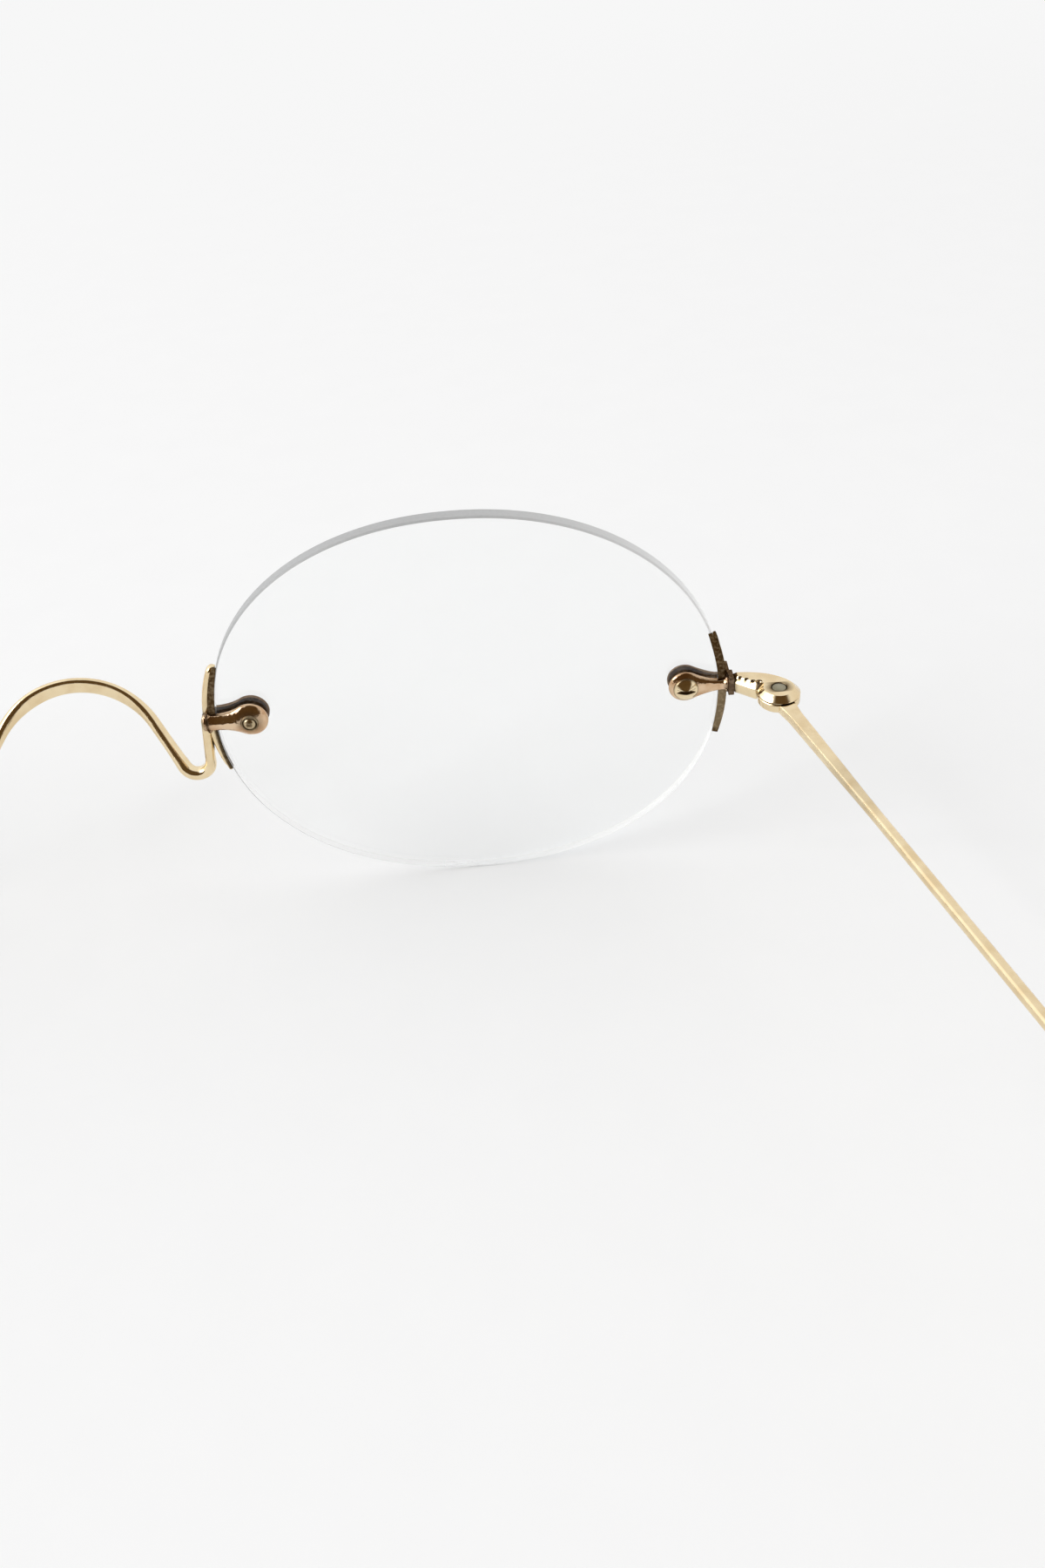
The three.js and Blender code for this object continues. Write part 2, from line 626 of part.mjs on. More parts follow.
// The origin is on the table, under the middle of the whole object
const extent = new THREE.Box3().setFromObject(spectacles, true);
spectacles.position.y = -(extent.min.y + extent.max.y) / 2;
spectacles.updateMatrixWorld(true);

export default spectacles;
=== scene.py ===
import json
import math
from types import SimpleNamespace
from typing import NamedTuple

import bmesh
import bpy
from mathutils import Matrix, Vector
from mathutils.geometry import interpolate_bezier, tessellate_polygon


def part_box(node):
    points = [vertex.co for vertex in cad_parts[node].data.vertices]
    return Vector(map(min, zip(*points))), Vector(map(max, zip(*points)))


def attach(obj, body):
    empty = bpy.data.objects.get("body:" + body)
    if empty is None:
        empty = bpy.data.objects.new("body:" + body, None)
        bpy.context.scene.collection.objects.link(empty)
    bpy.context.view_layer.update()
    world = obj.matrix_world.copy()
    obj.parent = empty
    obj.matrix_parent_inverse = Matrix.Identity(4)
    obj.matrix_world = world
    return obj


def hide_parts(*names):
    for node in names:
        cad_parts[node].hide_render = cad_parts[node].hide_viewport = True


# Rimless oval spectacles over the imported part: the wearer's right in millimetres, then its mirror image
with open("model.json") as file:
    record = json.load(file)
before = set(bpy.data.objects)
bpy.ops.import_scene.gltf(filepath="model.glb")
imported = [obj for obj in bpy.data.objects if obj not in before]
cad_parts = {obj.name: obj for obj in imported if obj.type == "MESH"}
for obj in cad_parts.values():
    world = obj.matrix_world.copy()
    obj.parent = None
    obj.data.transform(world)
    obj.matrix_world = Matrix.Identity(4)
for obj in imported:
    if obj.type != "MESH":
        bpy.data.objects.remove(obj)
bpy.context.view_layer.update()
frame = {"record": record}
MM = 0.001
SIDES = (("right", 1), ("left", -1))
ACROSS = Vector((1, 0, 0))
FORWARD = Vector((0, 1, 0))
UP = Vector((0, 0, 1))


def corners(node):
    low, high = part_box(node)
    return Vector(low) / MM, Vector(high) / MM


def blend(first, second, share):
    return first + (second - first) * share


def ramp(low, high, value):
    return min(1.0, max(0.0, (value - low) / (high - low)))


def smooth_step(low, high, value):
    t = ramp(low, high, value)
    return t * t * (3 - 2 * t)


class Dirt(NamedTuple):
    """Tarnish that grows from where a measure is clean to where it is foul."""
    clean: float
    foul: float
    amount: float = 1.0

    def at(self, measure):
        return self.amount * smooth_step(self.clean, self.foul, measure)


# Places read from the frame
lens_low, lens_high = corners("lens_right")
leaf_low, leaf_high = corners("endpiece_right")
strap_high = corners("temporal_strap_right")[1]
pin_low = corners("hinge_screw_right")[0]
eyelet_high = corners("temple_right")[1]
LENS = (lens_low + lens_high) / 2
HALF_WIDTH = (lens_high.x - lens_low.x) / 2
HALF_HEIGHT = (lens_high.z - lens_low.z) / 2
HALF_GLASS = (lens_high.y - lens_low.y) / 2
MOUNT_Z = (leaf_low.z + leaf_high.z) / 2
HINGE = Vector(frame["record"]["behaviour"]["joints"][0]["pos_m"]) / MM
HINGE_RADIUS = leaf_high.x - HINGE.x

# Fineness of the shapes
RIM_POINTS = 360
BORE_SIDES = 48
DISC_SIDES = 72
SCREW_SIDES = 56
BAR_SIDES = 32
BROAD_BAR_SIDES = 40
AXIS_RADIUS = 0.01
MERGE_DISTANCE = 1e-4

# Glass
FULLNESS = 2.1
RIM_BEVEL = 0.14
RIM_LAND = 1.2 * RIM_BEVEL
RIM_EASE = 0.02
RIM_EASE_RUN = 0.03
RIM_SHARE = 0.985
FLAT_NORMAL = 0.9
HOLE_RADIUS = 0.62

# Straps
GLASS_GAP = 0.05
EAR_ROWS = 64
EAR_COLUMNS = 48
EAR_JOIN = math.radians(60)
EAR_TIP_GAP = 0.003
EAR_SPREAD = 0.9
EAR_END_INSET = 0.1
NECK_DIP = (0.5, 2.6)
NECK_FLATTENING = (0.6, 2.2)
WEB_THICKNESS = 0.5
WEB_CORE = 0.3
WEB_TRIM = 0.1
WEB_REAR_LAP = 0.4
WEB_FRONT_LAP = 0.35
WEB_HALF_HEIGHT = 0.65
RIB_INSET = 0.04
UPPER_SOLDER = (0.24, 0.4, 0.26)
LOWER_SOLDER = (0.22, 0.4, 0.24)
MIDDLE_SOLDER = (0.3, 0.3, 0.42)
MIDDLE_SOLDER_PLACE = Vector((-0.05, -0.1, 0.1))
SOLDER_INSET = 0.05
SOLDER_DEPTH = 0.3
SOLDER_FORWARD = 0.15
FUSE_VOXEL = 0.05
FUSE_EASE = 0.5
FUSE_PASSES = 5

# Shoes
SHOE_THICKNESS = 0.4
SHOE_TAPER = 0.35
SHOE_DOWN = 5.1
SHOE_ROWS = 61
SHOE_TIP_START = 0.94
SHOE_TIP_DEPTH = 0.8
EDGE_STEP = 0.05
LEAF_POWER = 5
LIP_THICKNESS = 0.18
LIP_TAPER = 0.3
LIP_POWER = 4
UPPER_SPINE = {"start": 0.2, "end": 4.8, "half_thickness": 0.48, "half_width": 0.55}
LOWER_SPINE = {"start": -0.8, "end": 0.15 - SHOE_DOWN, "half_thickness": 0.36, "half_width": 0.56}
SPINE_ROWS = 41
SPINE_TIP_START = 0.88
SPINE_TIP_SHARE = 0.3
SPINE_THINNING = 0.34
SPINE_NARROWING = 0.15
SPINE_POWER = 2.4

# Screws
HEAD_RADIUS = 1.0
HEAD_HEIGHT = 0.46
HEAD_STEPS = 14
HEAD_POWER = 1.3
HEAD_BULGE = 0.08
HEAD_RIM = 0.12
HEAD_RIM_EASE = 0.04
HEAD_SEAT_GAP = 0.05
HEAD_SEAT_DEPTH = 0.03
SHANK_RADIUS = 0.5
SLOT_WIDTH = 0.3
SLOT_DEPTH = 0.3
SLOT_OVERCUT = 0.2
TIP_RADIUS = 0.52
TIP_STEPS = 8
TIP_SINK = 0.08
TIP_RISE = 0.32
TIP_RING = 0.72
RING_DEPTH = 0.3
RING_EASE = 0.05
RING_RISE = 0.02
RING_LAND = 0.12
RING_SEAT_GAP = 0.02
RING_SEAT_DEPTH = 0.1

# Bridge
WIRE_HALF_TALL = 0.45
WIRE_HALF_DEEP = 0.5
BRIDGE_POWER = 2.4
LEG_HALF_WIDTH = 0.42
LEG_EXTRA_DEEP = 0.1
LEG_END_DROP = 0.35
LEG_STEPS = 10
LEG_RUN = (9.0, 13.0)
LOOP_DROP = 5.64
LOOP_RADIUS = 1.27
LOOP_INSET = 1.72
LOOP_EXTRA_TALL = 0.1
LOOP_RISE = (1.5, 0.4)
FLANK_STEPS = 12
ARC_STEPS = 40
CREST_RISE = 8.14
CREST_RADIUS = 7.54
CREST_EXTRA_TALL = 0.22
CREST_LESS_DEEP = 0.18
CREST_EXTRA_POWER = 0.8
CREST_RUN = (9.0, 3.0)
ARCH_LEAN = math.radians(38)

# Endpieces and hinges
ARM_DEPTH = 1.6
ARM_SETBACK = 1.2
ARM_ROOT_GAP = 0.12
ARM_BELLY = 0.38
ARM_STEPS = 14
ARM_CURVE = ((0, 0.4), (0.33, 0.03), (0.8, -0.8))
ARM_BELLY_LEVELS = ((0.32, 0), (0.28, 0), (0.16, 0.1), (0.05, 0.3), (0, 0.6))
ARM_CHAMFER_SHARE = 0.85
LEAF_THICKNESS = 0.5
LEAF_CHAMFER = 0.46
CHAMFER_LEVELS = ((0, 1), (0.04, 0.94), (0.94, 0.07), (0.99, 0.01), (1.06, 0))
LEAF_STEPS = 60
SHOULDER_STEPS = 20
SHOULDER_LEAD = 0.4
ROOT_LEAD = 1.1
INNER_TURN = math.radians(165)
OUTER_TURN = math.radians(30)
NOTCH_GAP = 0.1
NOTCH_OVERCUT = 1.0
BLADE_ROOM_LEAD = 0.5
PITS = 4
PIT_START = 0.43
PIT_STEP = 0.46
PIT_SIZE = 0.14
PIT_GROWTH = 0.01
PIT_STRETCH = 1.2
PIT_SWAY = 0.08
PIT_WAVE = 2.4
PIT_PHASE = 0.6
PIT_SINK = 0.03
PIT_LINE_ROOT = 0.7
PIT_LINE_SLOPE = 0.6
BORE_RADIUS = 0.62
BORE_EASE = 0.03
LEAF_BORE_EASE = 0.04
PIN_RADIUS = 0.57
PIN_EASE = 0.08
PIN_EASE_DROP = 0.05
PIN_FLUSH = 0.01
PIN_HEAD_RADIUS = 0.8
PIN_HEAD_HEIGHT = 0.5
PIN_HEAD_EDGE = ((0, 0.7), (0.1, 0.93), (0.2, 1.0))
PIN_SLOT_DEPTH = 0.25

# Temples
EYELET_HEIGHT = 0.85
EYELET_LOW_ROUND = 0.3
EYELET_LOW_FLAT = 1.15 * EYELET_LOW_ROUND
EYELET_HIGH_ROUND = 0.14
EYELET_HIGH_FLAT = 1.1 * EYELET_HIGH_ROUND
EYELET_STEPS = 6
BLADE_LENGTH = 14.0
BLADE_STEPS = 48
BLADE_START = 0.35
BLADE_BLEND_LENGTH = 1.3 * BLADE_LENGTH
BLADE_SQUARE_RUN = (0.3 * BLADE_LENGTH, 1.2 * BLADE_LENGTH)
BLADE_ROOT_HALF = 0.64
BLADE_TAPER = 0.6
BLADE_POWER = 6
FLARE = 0.14
FLARE_RUN = (3.2, 1.3)
WIRE_RADIUS = 0.425
WIRE_POWER = 2.5
STRAIGHT_LENGTH = 96.0
STRAIGHT_STEPS = 24
EAR_BEND_RADIUS = 30.0
EAR_BEND_ANGLE = math.radians(40)
BEND_STEPS = 30
TAIL_STEPS = 8
TAIL_END_STEPS = 6
SPLAY = math.radians(15.4)

# Tarnish
RIB_FOUL_START = 0.05
RIB_FOUL_END = 0.15
CRACK_INSET = 0.1
CRACK_DIRT = Dirt(0.3, 0.0, 0.95)
EAR_REAR_DIRT = Dirt(0.12, 0.02, 0.8)
EAR_FRONT_DIRT = Dirt(0.5, 0.3, 0.8)
NASAL_TIP_STAIN = Dirt(1.3, 0.75, 0.42)
NASAL_TIP_DULL = 0.45
SHOE_REAR_DIRT = Dirt(-0.5, -0.62)
SHOE_MIDDLE_DIRT = Dirt(0.24, 0.1, 0.7)
SHOE_TIP_DIRT = Dirt(0.82, 0.95)
LOWER_SPINE_DIRT = Dirt(0.3, 0.2)
LOWER_SHOE_DIRT = 0.82
SLOT_DIRT = Dirt(0.62 * SLOT_WIDTH, 0.5 * SLOT_WIDTH, 0.9)
SLOT_DIRT_REACH = 0.2
HEAD_FOOT_DIRT = Dirt(0.1, 0.02, 0.8)
ARM_ROOT_DIRT = Dirt(0.3, 0.05, 0.6)
LEAF_BORE_DIRT = Dirt(0.08, 0.02, 0.9)
PIT_ROW_DIRT = Dirt(-0.9, -1.2)
PIT_TOP_DIRT = Dirt(0.03, 0.08)
PIT_FLOOR_DIRT = Dirt(0.34, 0.3)
PIT_SIDE_DIRT = Dirt(0.26, 0.2)
PIN_EDGE_DIRT = Dirt(-0.12, 0.0, 0.8)
LEG_END_DIRT = Dirt(-1.2, -0.4, 0.7)
LEG_SIDE_DIRT = Dirt(-1.5, -1.0)
LEG_FRONT_DIRT = Dirt(1.0, 0.6)
EYELET_BORE_DIRT = Dirt(0.3, 0.0, 0.8)
BLADE_STAIN = Dirt(8.5, 10.5, 0.16)
BLADE_STAIN_END = Dirt(17.0, 13.5)

# Camera, from the middle of the right lens
CAMERA_OFFSET = Vector((4.689, -98.612, 69.411))
CAMERA_RIGHT = Vector((0.99656, -0.04587, -0.06903))
CAMERA_DOWN = Vector((-0.08258, -0.62001, -0.78024))
FOCAL_PIXELS = 1700.0
PICTURE_HEIGHT = 1800.0
SENSOR = 36.0
CLIP_NEAR = 5.0
CLIP_FAR = 20000.0

# Finish of metal, glass and paper
CLOUD_SIZE = 1.6
SPECK_SIZE = 0.22
GRAIN_SIZE = 0.5
DENT_SIZE = 0.6
DENT_DEPTH = 0.08
SCRATCH_SIZE = 0.18
SCRATCH_DEPTH = 0.012
SCRATCH_STRENGTH = 0.12
SCRATCH_STRETCH = (1, 0.25, 1)
CORNER_REACH = 0.35
WHITE = (1.0, 1.0, 1.0)
FOUL_SHEEN = (0.16, 0.13, 0.1)
SMEAR_SIZE = 9.0
GLASS_TINT = (0.985, 0.99, 0.988, 1)
GLASS_SHADE = (0.905, 0.908, 0.907, 1)
FROST_SIZE = 0.25
# Painted light on the ground edge of the glass: shade above, a highlight below and outside, a dark
# refraction line along the rear
FROST_PAINTED_SHADE = (0.47, 0.475, 0.48)
FROST_PAINTED_SHADE_PALE = (0.56, 0.565, 0.57)
FROST_PAINTED_HIGHLIGHT = (0.98, 0.985, 0.985)
FROST_PAINTED_REFRACTION_LINE = (0.45, 0.455, 0.46)
FROST_LOWER = (18 * MM, 24 * MM)
FROST_OUTER = (30 * MM, 62 * MM)
FROST_INNER = (29 * MM, 37 * MM)
FROST_REAR = ((lens_low.y + 0.08) * MM, (lens_low.y + 0.14) * MM)
FROST_GLOW = 0.5
FROST_CLEAR = 0.75
PAPER_GRAIN_SIZE = 6.0
PAPER_SHADE = (0.918, 0.93, 0.942)
PAPER_LIGHT = (0.938, 0.95, 0.962)

# Table, backdrop and lamp, in metres
BACKDROP = 0.93
# Painted shadow of the viewer on the near end of the paper, seen only in mirrored rays
VIEWER_SHADOW_TINT = (0.08, 0.05, 0.02)
VIEWER_TINT = (0.11, 0.068, 0.028)
FLOOR_HALF_SIZE = 3.0
FADE_CENTRE = (0.08, 0, 0)
FADE_START = 0.15
FADE_END = 0.42
# The wedge that this painted shadow fills, widening towards the viewer
SHADOW_WEDGE_START = (-0.05, -0.005)
SHADOW_WEDGE_LENGTH = 1.0
SHADOW_WEDGE_HALF_WIDTH = 0.9
SHADOW_WEDGE_EDGE = (0.04, 0.1)
LAMP_PLACE = Vector((-1.93, -0.55, 1.2))
LAMP_AIM = Vector((0.03, 0.05, 0))
LAMP_WIDTH = 1.8
LAMP_HEIGHT = 1.4
LAMP_ENERGY = 32.5
ROOM_LIGHT = 0.965
WINDOW_LIGHT = 1.365
WINDOW_WAY = Vector((-0.9, 0.1, 0.42))
HEAD_WAY = Vector((0.12, -0.7, 0.7))
BODY_WAY = Vector((-0.12, -0.96, 0.25))


# Measures, and shapes as pairs of points and faces
def signed_power(value, power):
    return math.copysign(abs(value) ** power, value)


def lens_edge(z):
    return HALF_WIDTH * (1 - abs(z / HALF_HEIGHT) ** FULLNESS) ** (1 / FULLNESS)


def from_hinge(p):
    return math.hypot(p.x - HINGE.x, p.y - HINGE.y)


def tube(rows, columns, start=0):
    """Faces between rings of points that begin at start."""
    faces = []
    for a in range(start, start + (rows - 1) * columns, columns):
        b = a + columns
        for c in range(columns):
            d = (c + 1) % columns
            faces.append((a + c, a + d, b + d, b + c))
    return faces


def closed_tube(rows, columns):
    last = (rows - 1) * columns
    return tube(rows, columns) + [tuple(range(columns)), tuple(range(last, last + columns))]


def sweep(stations, sides):
    """A bar through stations of (centre, across, upward, half width, half height, power)."""
    points = []
    for centre, across, upward, half_a, half_u, power in stations:
        for k in range(sides):
            turn = 2 * math.pi * k / sides
            a = half_a * signed_power(math.cos(turn), 2 / power)
            u = half_u * signed_power(math.sin(turn), 2 / power)
            points.append(centre + across * a + upward * u)
    return points, closed_tube(len(stations), sides)


def lathe(profile, sides):
    """A turned body about y, from a profile of (radius, y) that starts and ends near the axis."""
    return sweep([(FORWARD * y, ACROSS, UP, radius, radius, 2) for radius, y in profile], sides)


def inset(outline, distance):
    """The outline, moved inwards by one distance, or by a distance for each point."""
    inner = []
    count = len(outline)
    distances = distance if isinstance(distance, list) else [distance] * count
    for i, p in enumerate(outline):
        before = (p - outline[i - 1]).normalized()
        after = (outline[(i + 1) % count] - p).normalized()
        normal = Vector((-before.y - after.y, before.x + after.x)).normalized()
        slope = max(0.5, normal.dot(Vector((-before.y, before.x))))
        inner.append(p + normal * (distances[i] / slope))
    return inner


def plate(outline, levels, holes=()):
    """A plate from an anticlockwise outline, through levels of (inset, height).
    Each hole is an outline with levels of its own."""
    points = []
    faces = []
    rings = []
    for loop, loop_levels in [(outline, levels), *holes]:
        size = len(loop)
        start = len(points)
        for distance, height in loop_levels:
            for p in inset(loop, distance):
                points.append(Vector((p.x, p.y, height)))
        faces += tube(len(loop_levels), size, start)
        rings.append((start, start + (len(loop_levels) - 1) * size, size))
    for end in (0, 1):
        loops = [range(ring[end], ring[end] + ring[2]) for ring in rings]
        order = [i for loop in loops for i in loop]
        for triangle in tessellate_polygon([[points[i] for i in loop] for loop in loops]):
            faces.append(tuple(order[i] for i in triangle))
    return points, faces


def circle(centre, radius, count):
    turns = [2 * math.pi * k / count for k in range(count)]
    return [Vector((centre.x + radius * math.cos(t), centre.y + radius * math.sin(t))) for t in turns]


def blob(centre, radii, detail=3):
    """A rounded lump, or a hollow where it is cut away."""
    shape = bmesh.new()
    bmesh.ops.create_icosphere(shape, subdivisions=detail, radius=1)
    points = [centre + Vector(v.co) * Vector(radii) for v in shape.verts]
    faces = [tuple(v.index for v in f.verts) for f in shape.faces]
    shape.free()
    return points, faces


def box(low, high):
    points = [Vector((x, y, z)) for x in (low.x, high.x) for y in (low.y, high.y) for z in (low.z, high.z)]
    faces = [(0, 1, 3, 2), (4, 6, 7, 5), (0, 4, 5, 1), (2, 3, 7, 6), (0, 2, 6, 4), (1, 5, 7, 3)]
    return points, faces


def mirror(p, plane=0.0):
    """The place on the other side of the plane x = plane."""
    return Vector((2 * plane - p.x, p.y, p.z))


def reflect(part, plane=0.0):
    points, faces = part
    return [mirror(p, plane) for p in points], faces


def mesh_of(name, parts):
    points = []
    faces = []
    for part_points, part_faces in parts:
        start = len(points)
        points += part_points
        faces += [tuple(start + i for i in face) for face in part_faces]
    mesh = bpy.data.meshes.new(name)
    mesh.from_pydata(points, [], faces)
    tidy = bmesh.new()
    tidy.from_mesh(mesh)
    bmesh.ops.remove_doubles(tidy, verts=tidy.verts, dist=MERGE_DISTANCE)
    bmesh.ops.recalc_face_normals(tidy, faces=tidy.faces)
    tidy.to_mesh(mesh)
    tidy.free()
    return mesh


def placed(name, data):
    """A new object in the scene."""
    thing = bpy.data.objects.new(name, data)
    bpy.context.collection.objects.link(thing)
    return thing


def applied(name, parts, **modifiers):
    """The parts as one shape, after these modifiers."""
    holder = placed(name, mesh_of(name, parts))
    for kind, settings in modifiers.items():
        modifier = holder.modifiers.new(kind, kind)
        for key, value in settings.items():
            setattr(modifier, key, value)
    seen = holder.evaluated_get(bpy.context.evaluated_depsgraph_get())
    mesh = bpy.data.meshes.new_from_object(seen)
    bpy.data.objects.remove(holder)
    return [v.co.copy() for v in mesh.vertices], [tuple(p.vertices) for p in mesh.polygons]


def fused(name, parts):
    """Parts run together into one smooth skin."""
    remesh = {"mode": "VOXEL", "voxel_size": FUSE_VOXEL}
    ease = {"factor": FUSE_EASE, "iterations": FUSE_PASSES}
    return applied(name, parts, REMESH=remesh, SMOOTH=ease)


def joined(name, first, second, operation="DIFFERENCE"):
    """Two closed shapes joined, or the second cut from the first."""
    tool = placed("tool", mesh_of("tool", [second]))
    cut = {"operation": operation, "solver": "MANIFOLD", "object": tool}
    result = applied(name, [first], BOOLEAN=cut)
    bpy.data.objects.remove(tool)
    return result


# Shader nodes
def add_node(tree, kind, sockets, **settings):
    """A node whose sockets take plain values, or links from the outputs of other nodes."""
    node = tree.nodes.new(f"ShaderNode{kind}")
    for name, value in settings.items():
        setattr(node, name, value)
    for key, value in sockets.items():
        if isinstance(value, bpy.types.NodeSocket):
            tree.links.new(value, node.inputs[key])
        else:
            node.inputs[key].default_value = value
    return node


def new_material(name):
    material = bpy.data.materials.new(name)
    material.use_nodes = True
    material.node_tree.nodes.clear()
    return material, material.node_tree


def show(shader):
    add_node(shader.id_data, "OutputMaterial", {"Surface": shader.outputs[0]})


def object_place(tree):
    return add_node(tree, "TexCoord", {}).outputs["Object"]


# Each of these works in the node tree of what it is given
def noise(place, size, detail=4.0, stretch=(1, 1, 1)):
    """Noise whose features are about this size in millimetres."""
    tree = place.id_data
    mapping = add_node(tree, "Mapping", {"Vector": place, "Scale": stretch})
    sockets = {"Vector": mapping.outputs["Vector"], "Scale": 1 / (size * MM), "Detail": detail}
    return add_node(tree, "TexNoise", sockets).outputs["Fac"]


def ranged(value, low, high, to_low, to_high):
    """A smooth step from one value to another."""
    sockets = {"Value": value, "From Min": low, "From Max": high, "To Min": to_low, "To Max": to_high}
    return add_node(value.id_data, "MapRange", sockets, interpolation_type="SMOOTHSTEP").outputs["Result"]


def mixed(factor, first, second):
    """A colour between two, each a plain colour or a node's output."""
    first, second = ((*c, 1) if isinstance(c, tuple) else c for c in (first, second))
    sockets = {"Factor": factor, 6: first, 7: second}
    return add_node(factor.id_data, "Mix", sockets, data_type="RGBA").outputs[2]


def mixed_shader(factor, first, second):
    sockets = {"Fac": factor, 1: first.outputs[0], 2: second.outputs[0]}
    return add_node(first.id_data, "MixShader", sockets)


def maths(operation, first, second=0.0):
    """A sum, product or the like, kept between 0 and 1."""
    sockets = {0: first, 1: second}
    return add_node(first.id_data, "Math", sockets, operation=operation, use_clamp=True).outputs["Value"]


# Materials
def metal(name, roughness, dents, pale, warm, tarnish):
    """Old polished metal: clouded, dented, scratched, and tarnished in corners and where the mesh says."""
    material, tree = new_material(name)
    place = object_place(tree)
    cloud = ranged(noise(place, CLOUD_SIZE), 0.35, 0.7, 0, 1)
    worn = add_node(tree, "Attribute", {}, attribute_name="tarnish").outputs["Fac"]
    shade = add_node(tree, "AmbientOcclusion", {"Distance": CORNER_REACH * MM}, samples=6)
    corner = ranged(shade.outputs["AO"], 0.25, 0.7, 0.85, 0)
    speck = ranged(noise(place, SPECK_SIZE, 6), 0.3, 0.6, 0.84, 1)
    dirt = maths("MULTIPLY", maths("MAXIMUM", worn, corner), speck)
    gloss = ranged(noise(place, GRAIN_SIZE, 5), 0.3, 0.7, roughness * 0.7, roughness * 1.35)
    dull = ranged(dirt, 0, 1, 0, 0.3)
    dented = add_node(tree, "Bump", {
        "Strength": dents,
        "Distance": DENT_DEPTH * MM,
        "Height": noise(place, DENT_SIZE, 2),
    })
    scratched = add_node(tree, "Bump", {
        "Strength": SCRATCH_STRENGTH,
        "Distance": SCRATCH_DEPTH * MM,
        "Height": noise(place, SCRATCH_SIZE, 3, SCRATCH_STRETCH),
        "Normal": dented.outputs["Normal"],
    })
    show(add_node(tree, "BsdfPrincipled", {
        "Metallic": 1.0,
        "Base Color": mixed(dirt, mixed(cloud, pale, warm), tarnish),
        "Specular Tint": mixed(dirt, WHITE, FOUL_SHEEN),
        "Roughness": maths("ADD", gloss, dull),
        "Normal": scratched.outputs["Normal"],
    }))
    return material


def clear_glass(name):
    """Glass with faint smears. Light on its way to the table passes straight through it."""
    material, tree = new_material(name)
    smear = noise(object_place(tree), SMEAR_SIZE, 5)
    body = add_node(tree, "BsdfPrincipled", {
        "Base Color": GLASS_TINT,
        "IOR": 1.52,
        "Transmission Weight": 1.0,
        "Roughness": ranged(smear, 0.4, 0.75, 0.0, 0.03),
    })
    path = add_node(tree, "LightPath", {}).outputs
    open_rays = maths("MAXIMUM", path["Is Shadow Ray"], path["Is Diffuse Ray"])
    through = add_node(tree, "BsdfTransparent", {"Color": GLASS_SHADE})
    show(mixed_shader(open_rays, body, through))
    return material


def ground_glass(name):
    """The ground edge of a lens, a frosted skin with painted light: painted shade above, a painted
    highlight below and to the outer side.
    Below, towards the nose, it is half clear, with a painted dark refraction line along the rear."""
    material, tree = new_material(name)
    place = object_place(tree)
    split = add_node(tree, "SeparateXYZ", {"Vector": place}).outputs
    side = maths("ABSOLUTE", split["X"])
    lower = ranged(split["Z"], *FROST_LOWER, 1.0, 0.0)
    outer = ranged(side, *FROST_OUTER, 0.0, 1.0)
    inner = maths("MULTIPLY", lower, ranged(side, *FROST_INNER, 1.0, 0.0))
    rear = ranged(split["Y"], *FROST_REAR, 1.0, 0.0)
    # Painted shade on the upper ground edge, with grain
    dull = mixed(noise(place, FROST_SIZE, 5), FROST_PAINTED_SHADE, FROST_PAINTED_SHADE_PALE)
    # Painted highlight on the lower and the outer ground edge
    frost_and_painted_light = mixed(maths("MAXIMUM", lower, outer), dull, FROST_PAINTED_HIGHLIGHT)
    # Painted dark refraction line along the rear, low on the nasal side
    frost_and_painted_light = mixed(maths("MULTIPLY", inner, rear), frost_and_painted_light, FROST_PAINTED_REFRACTION_LINE)
    skin = add_node(tree, "BsdfPrincipled", {"Roughness": 0.4, "Base Color": frost_and_painted_light})
    glow = add_node(tree, "BsdfTranslucent", {"Color": frost_and_painted_light})
    frosted = mixed_shader(FROST_GLOW, skin, glow)
    clear = maths("MULTIPLY", maths("SUBTRACT", inner, rear), FROST_CLEAR)
    show(mixed_shader(clear, frosted, add_node(tree, "BsdfTransparent", {})))
    return material


GOLD = metal(
    "gold", roughness=0.12, dents=0.12,
    pale=(0.85, 0.7, 0.455), warm=(0.76, 0.595, 0.36), tarnish=(0.062, 0.032, 0.0105),
)
ROSE = metal(
    "rose_gold", roughness=0.1, dents=0.7,
    pale=(0.74, 0.55, 0.37), warm=(0.52, 0.31, 0.165), tarnish=(0.055, 0.03, 0.015),
)
STEEL = metal(
    "steel", roughness=0.32, dents=0.12,
    pale=(0.36, 0.33, 0.24), warm=(0.28, 0.26, 0.18), tarnish=(0.06, 0.045, 0.02),
)
SLOTS = {"gold": GOLD, "rose_gold": ROSE, "steel": STEEL, "glass": clear_glass("clear_glass")}
GROUND_EDGE = ground_glass("ground_edge")


# Pieces
def add_piece(node, parts, slot, body, tarnish, sharp=40):
    """A piece that replaces a node. Edges that turn by more than sharp degrees stay crisp."""
    name = f"{node}_skin"
    mesh = mesh_of(name, parts)
    layer = mesh.attributes.new("tarnish", "FLOAT", "POINT")
    for i, vertex in enumerate(mesh.vertices):
        layer.data[i].value = tarnish(vertex.co)
        vertex.co *= MM
    mesh.shade_smooth()
    mesh.set_sharp_from_angle(angle=math.radians(sharp))
    mesh.materials.append(SLOTS[slot])
    piece = placed(name, mesh)
    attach(piece, body)
    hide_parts(node)
    return piece


def add_both(name, parts, slot, tarnish, sharp=40):
    """A piece of the wearer's right and its mirror image on the left. Each temple is a body of its own."""
    pieces = []
    for side, sign in SIDES:
        node = f"{name}_{side}"
        body = node if name == "temple" else "front"
        own_parts = parts if sign > 0 else [reflect(part) for part in parts]

        def worn(p, sign=sign):
            return tarnish(Vector((sign * p.x, p.y, p.z)))
        pieces.append(add_piece(node, own_parts, slot, body, worn, sharp))
    return pieces


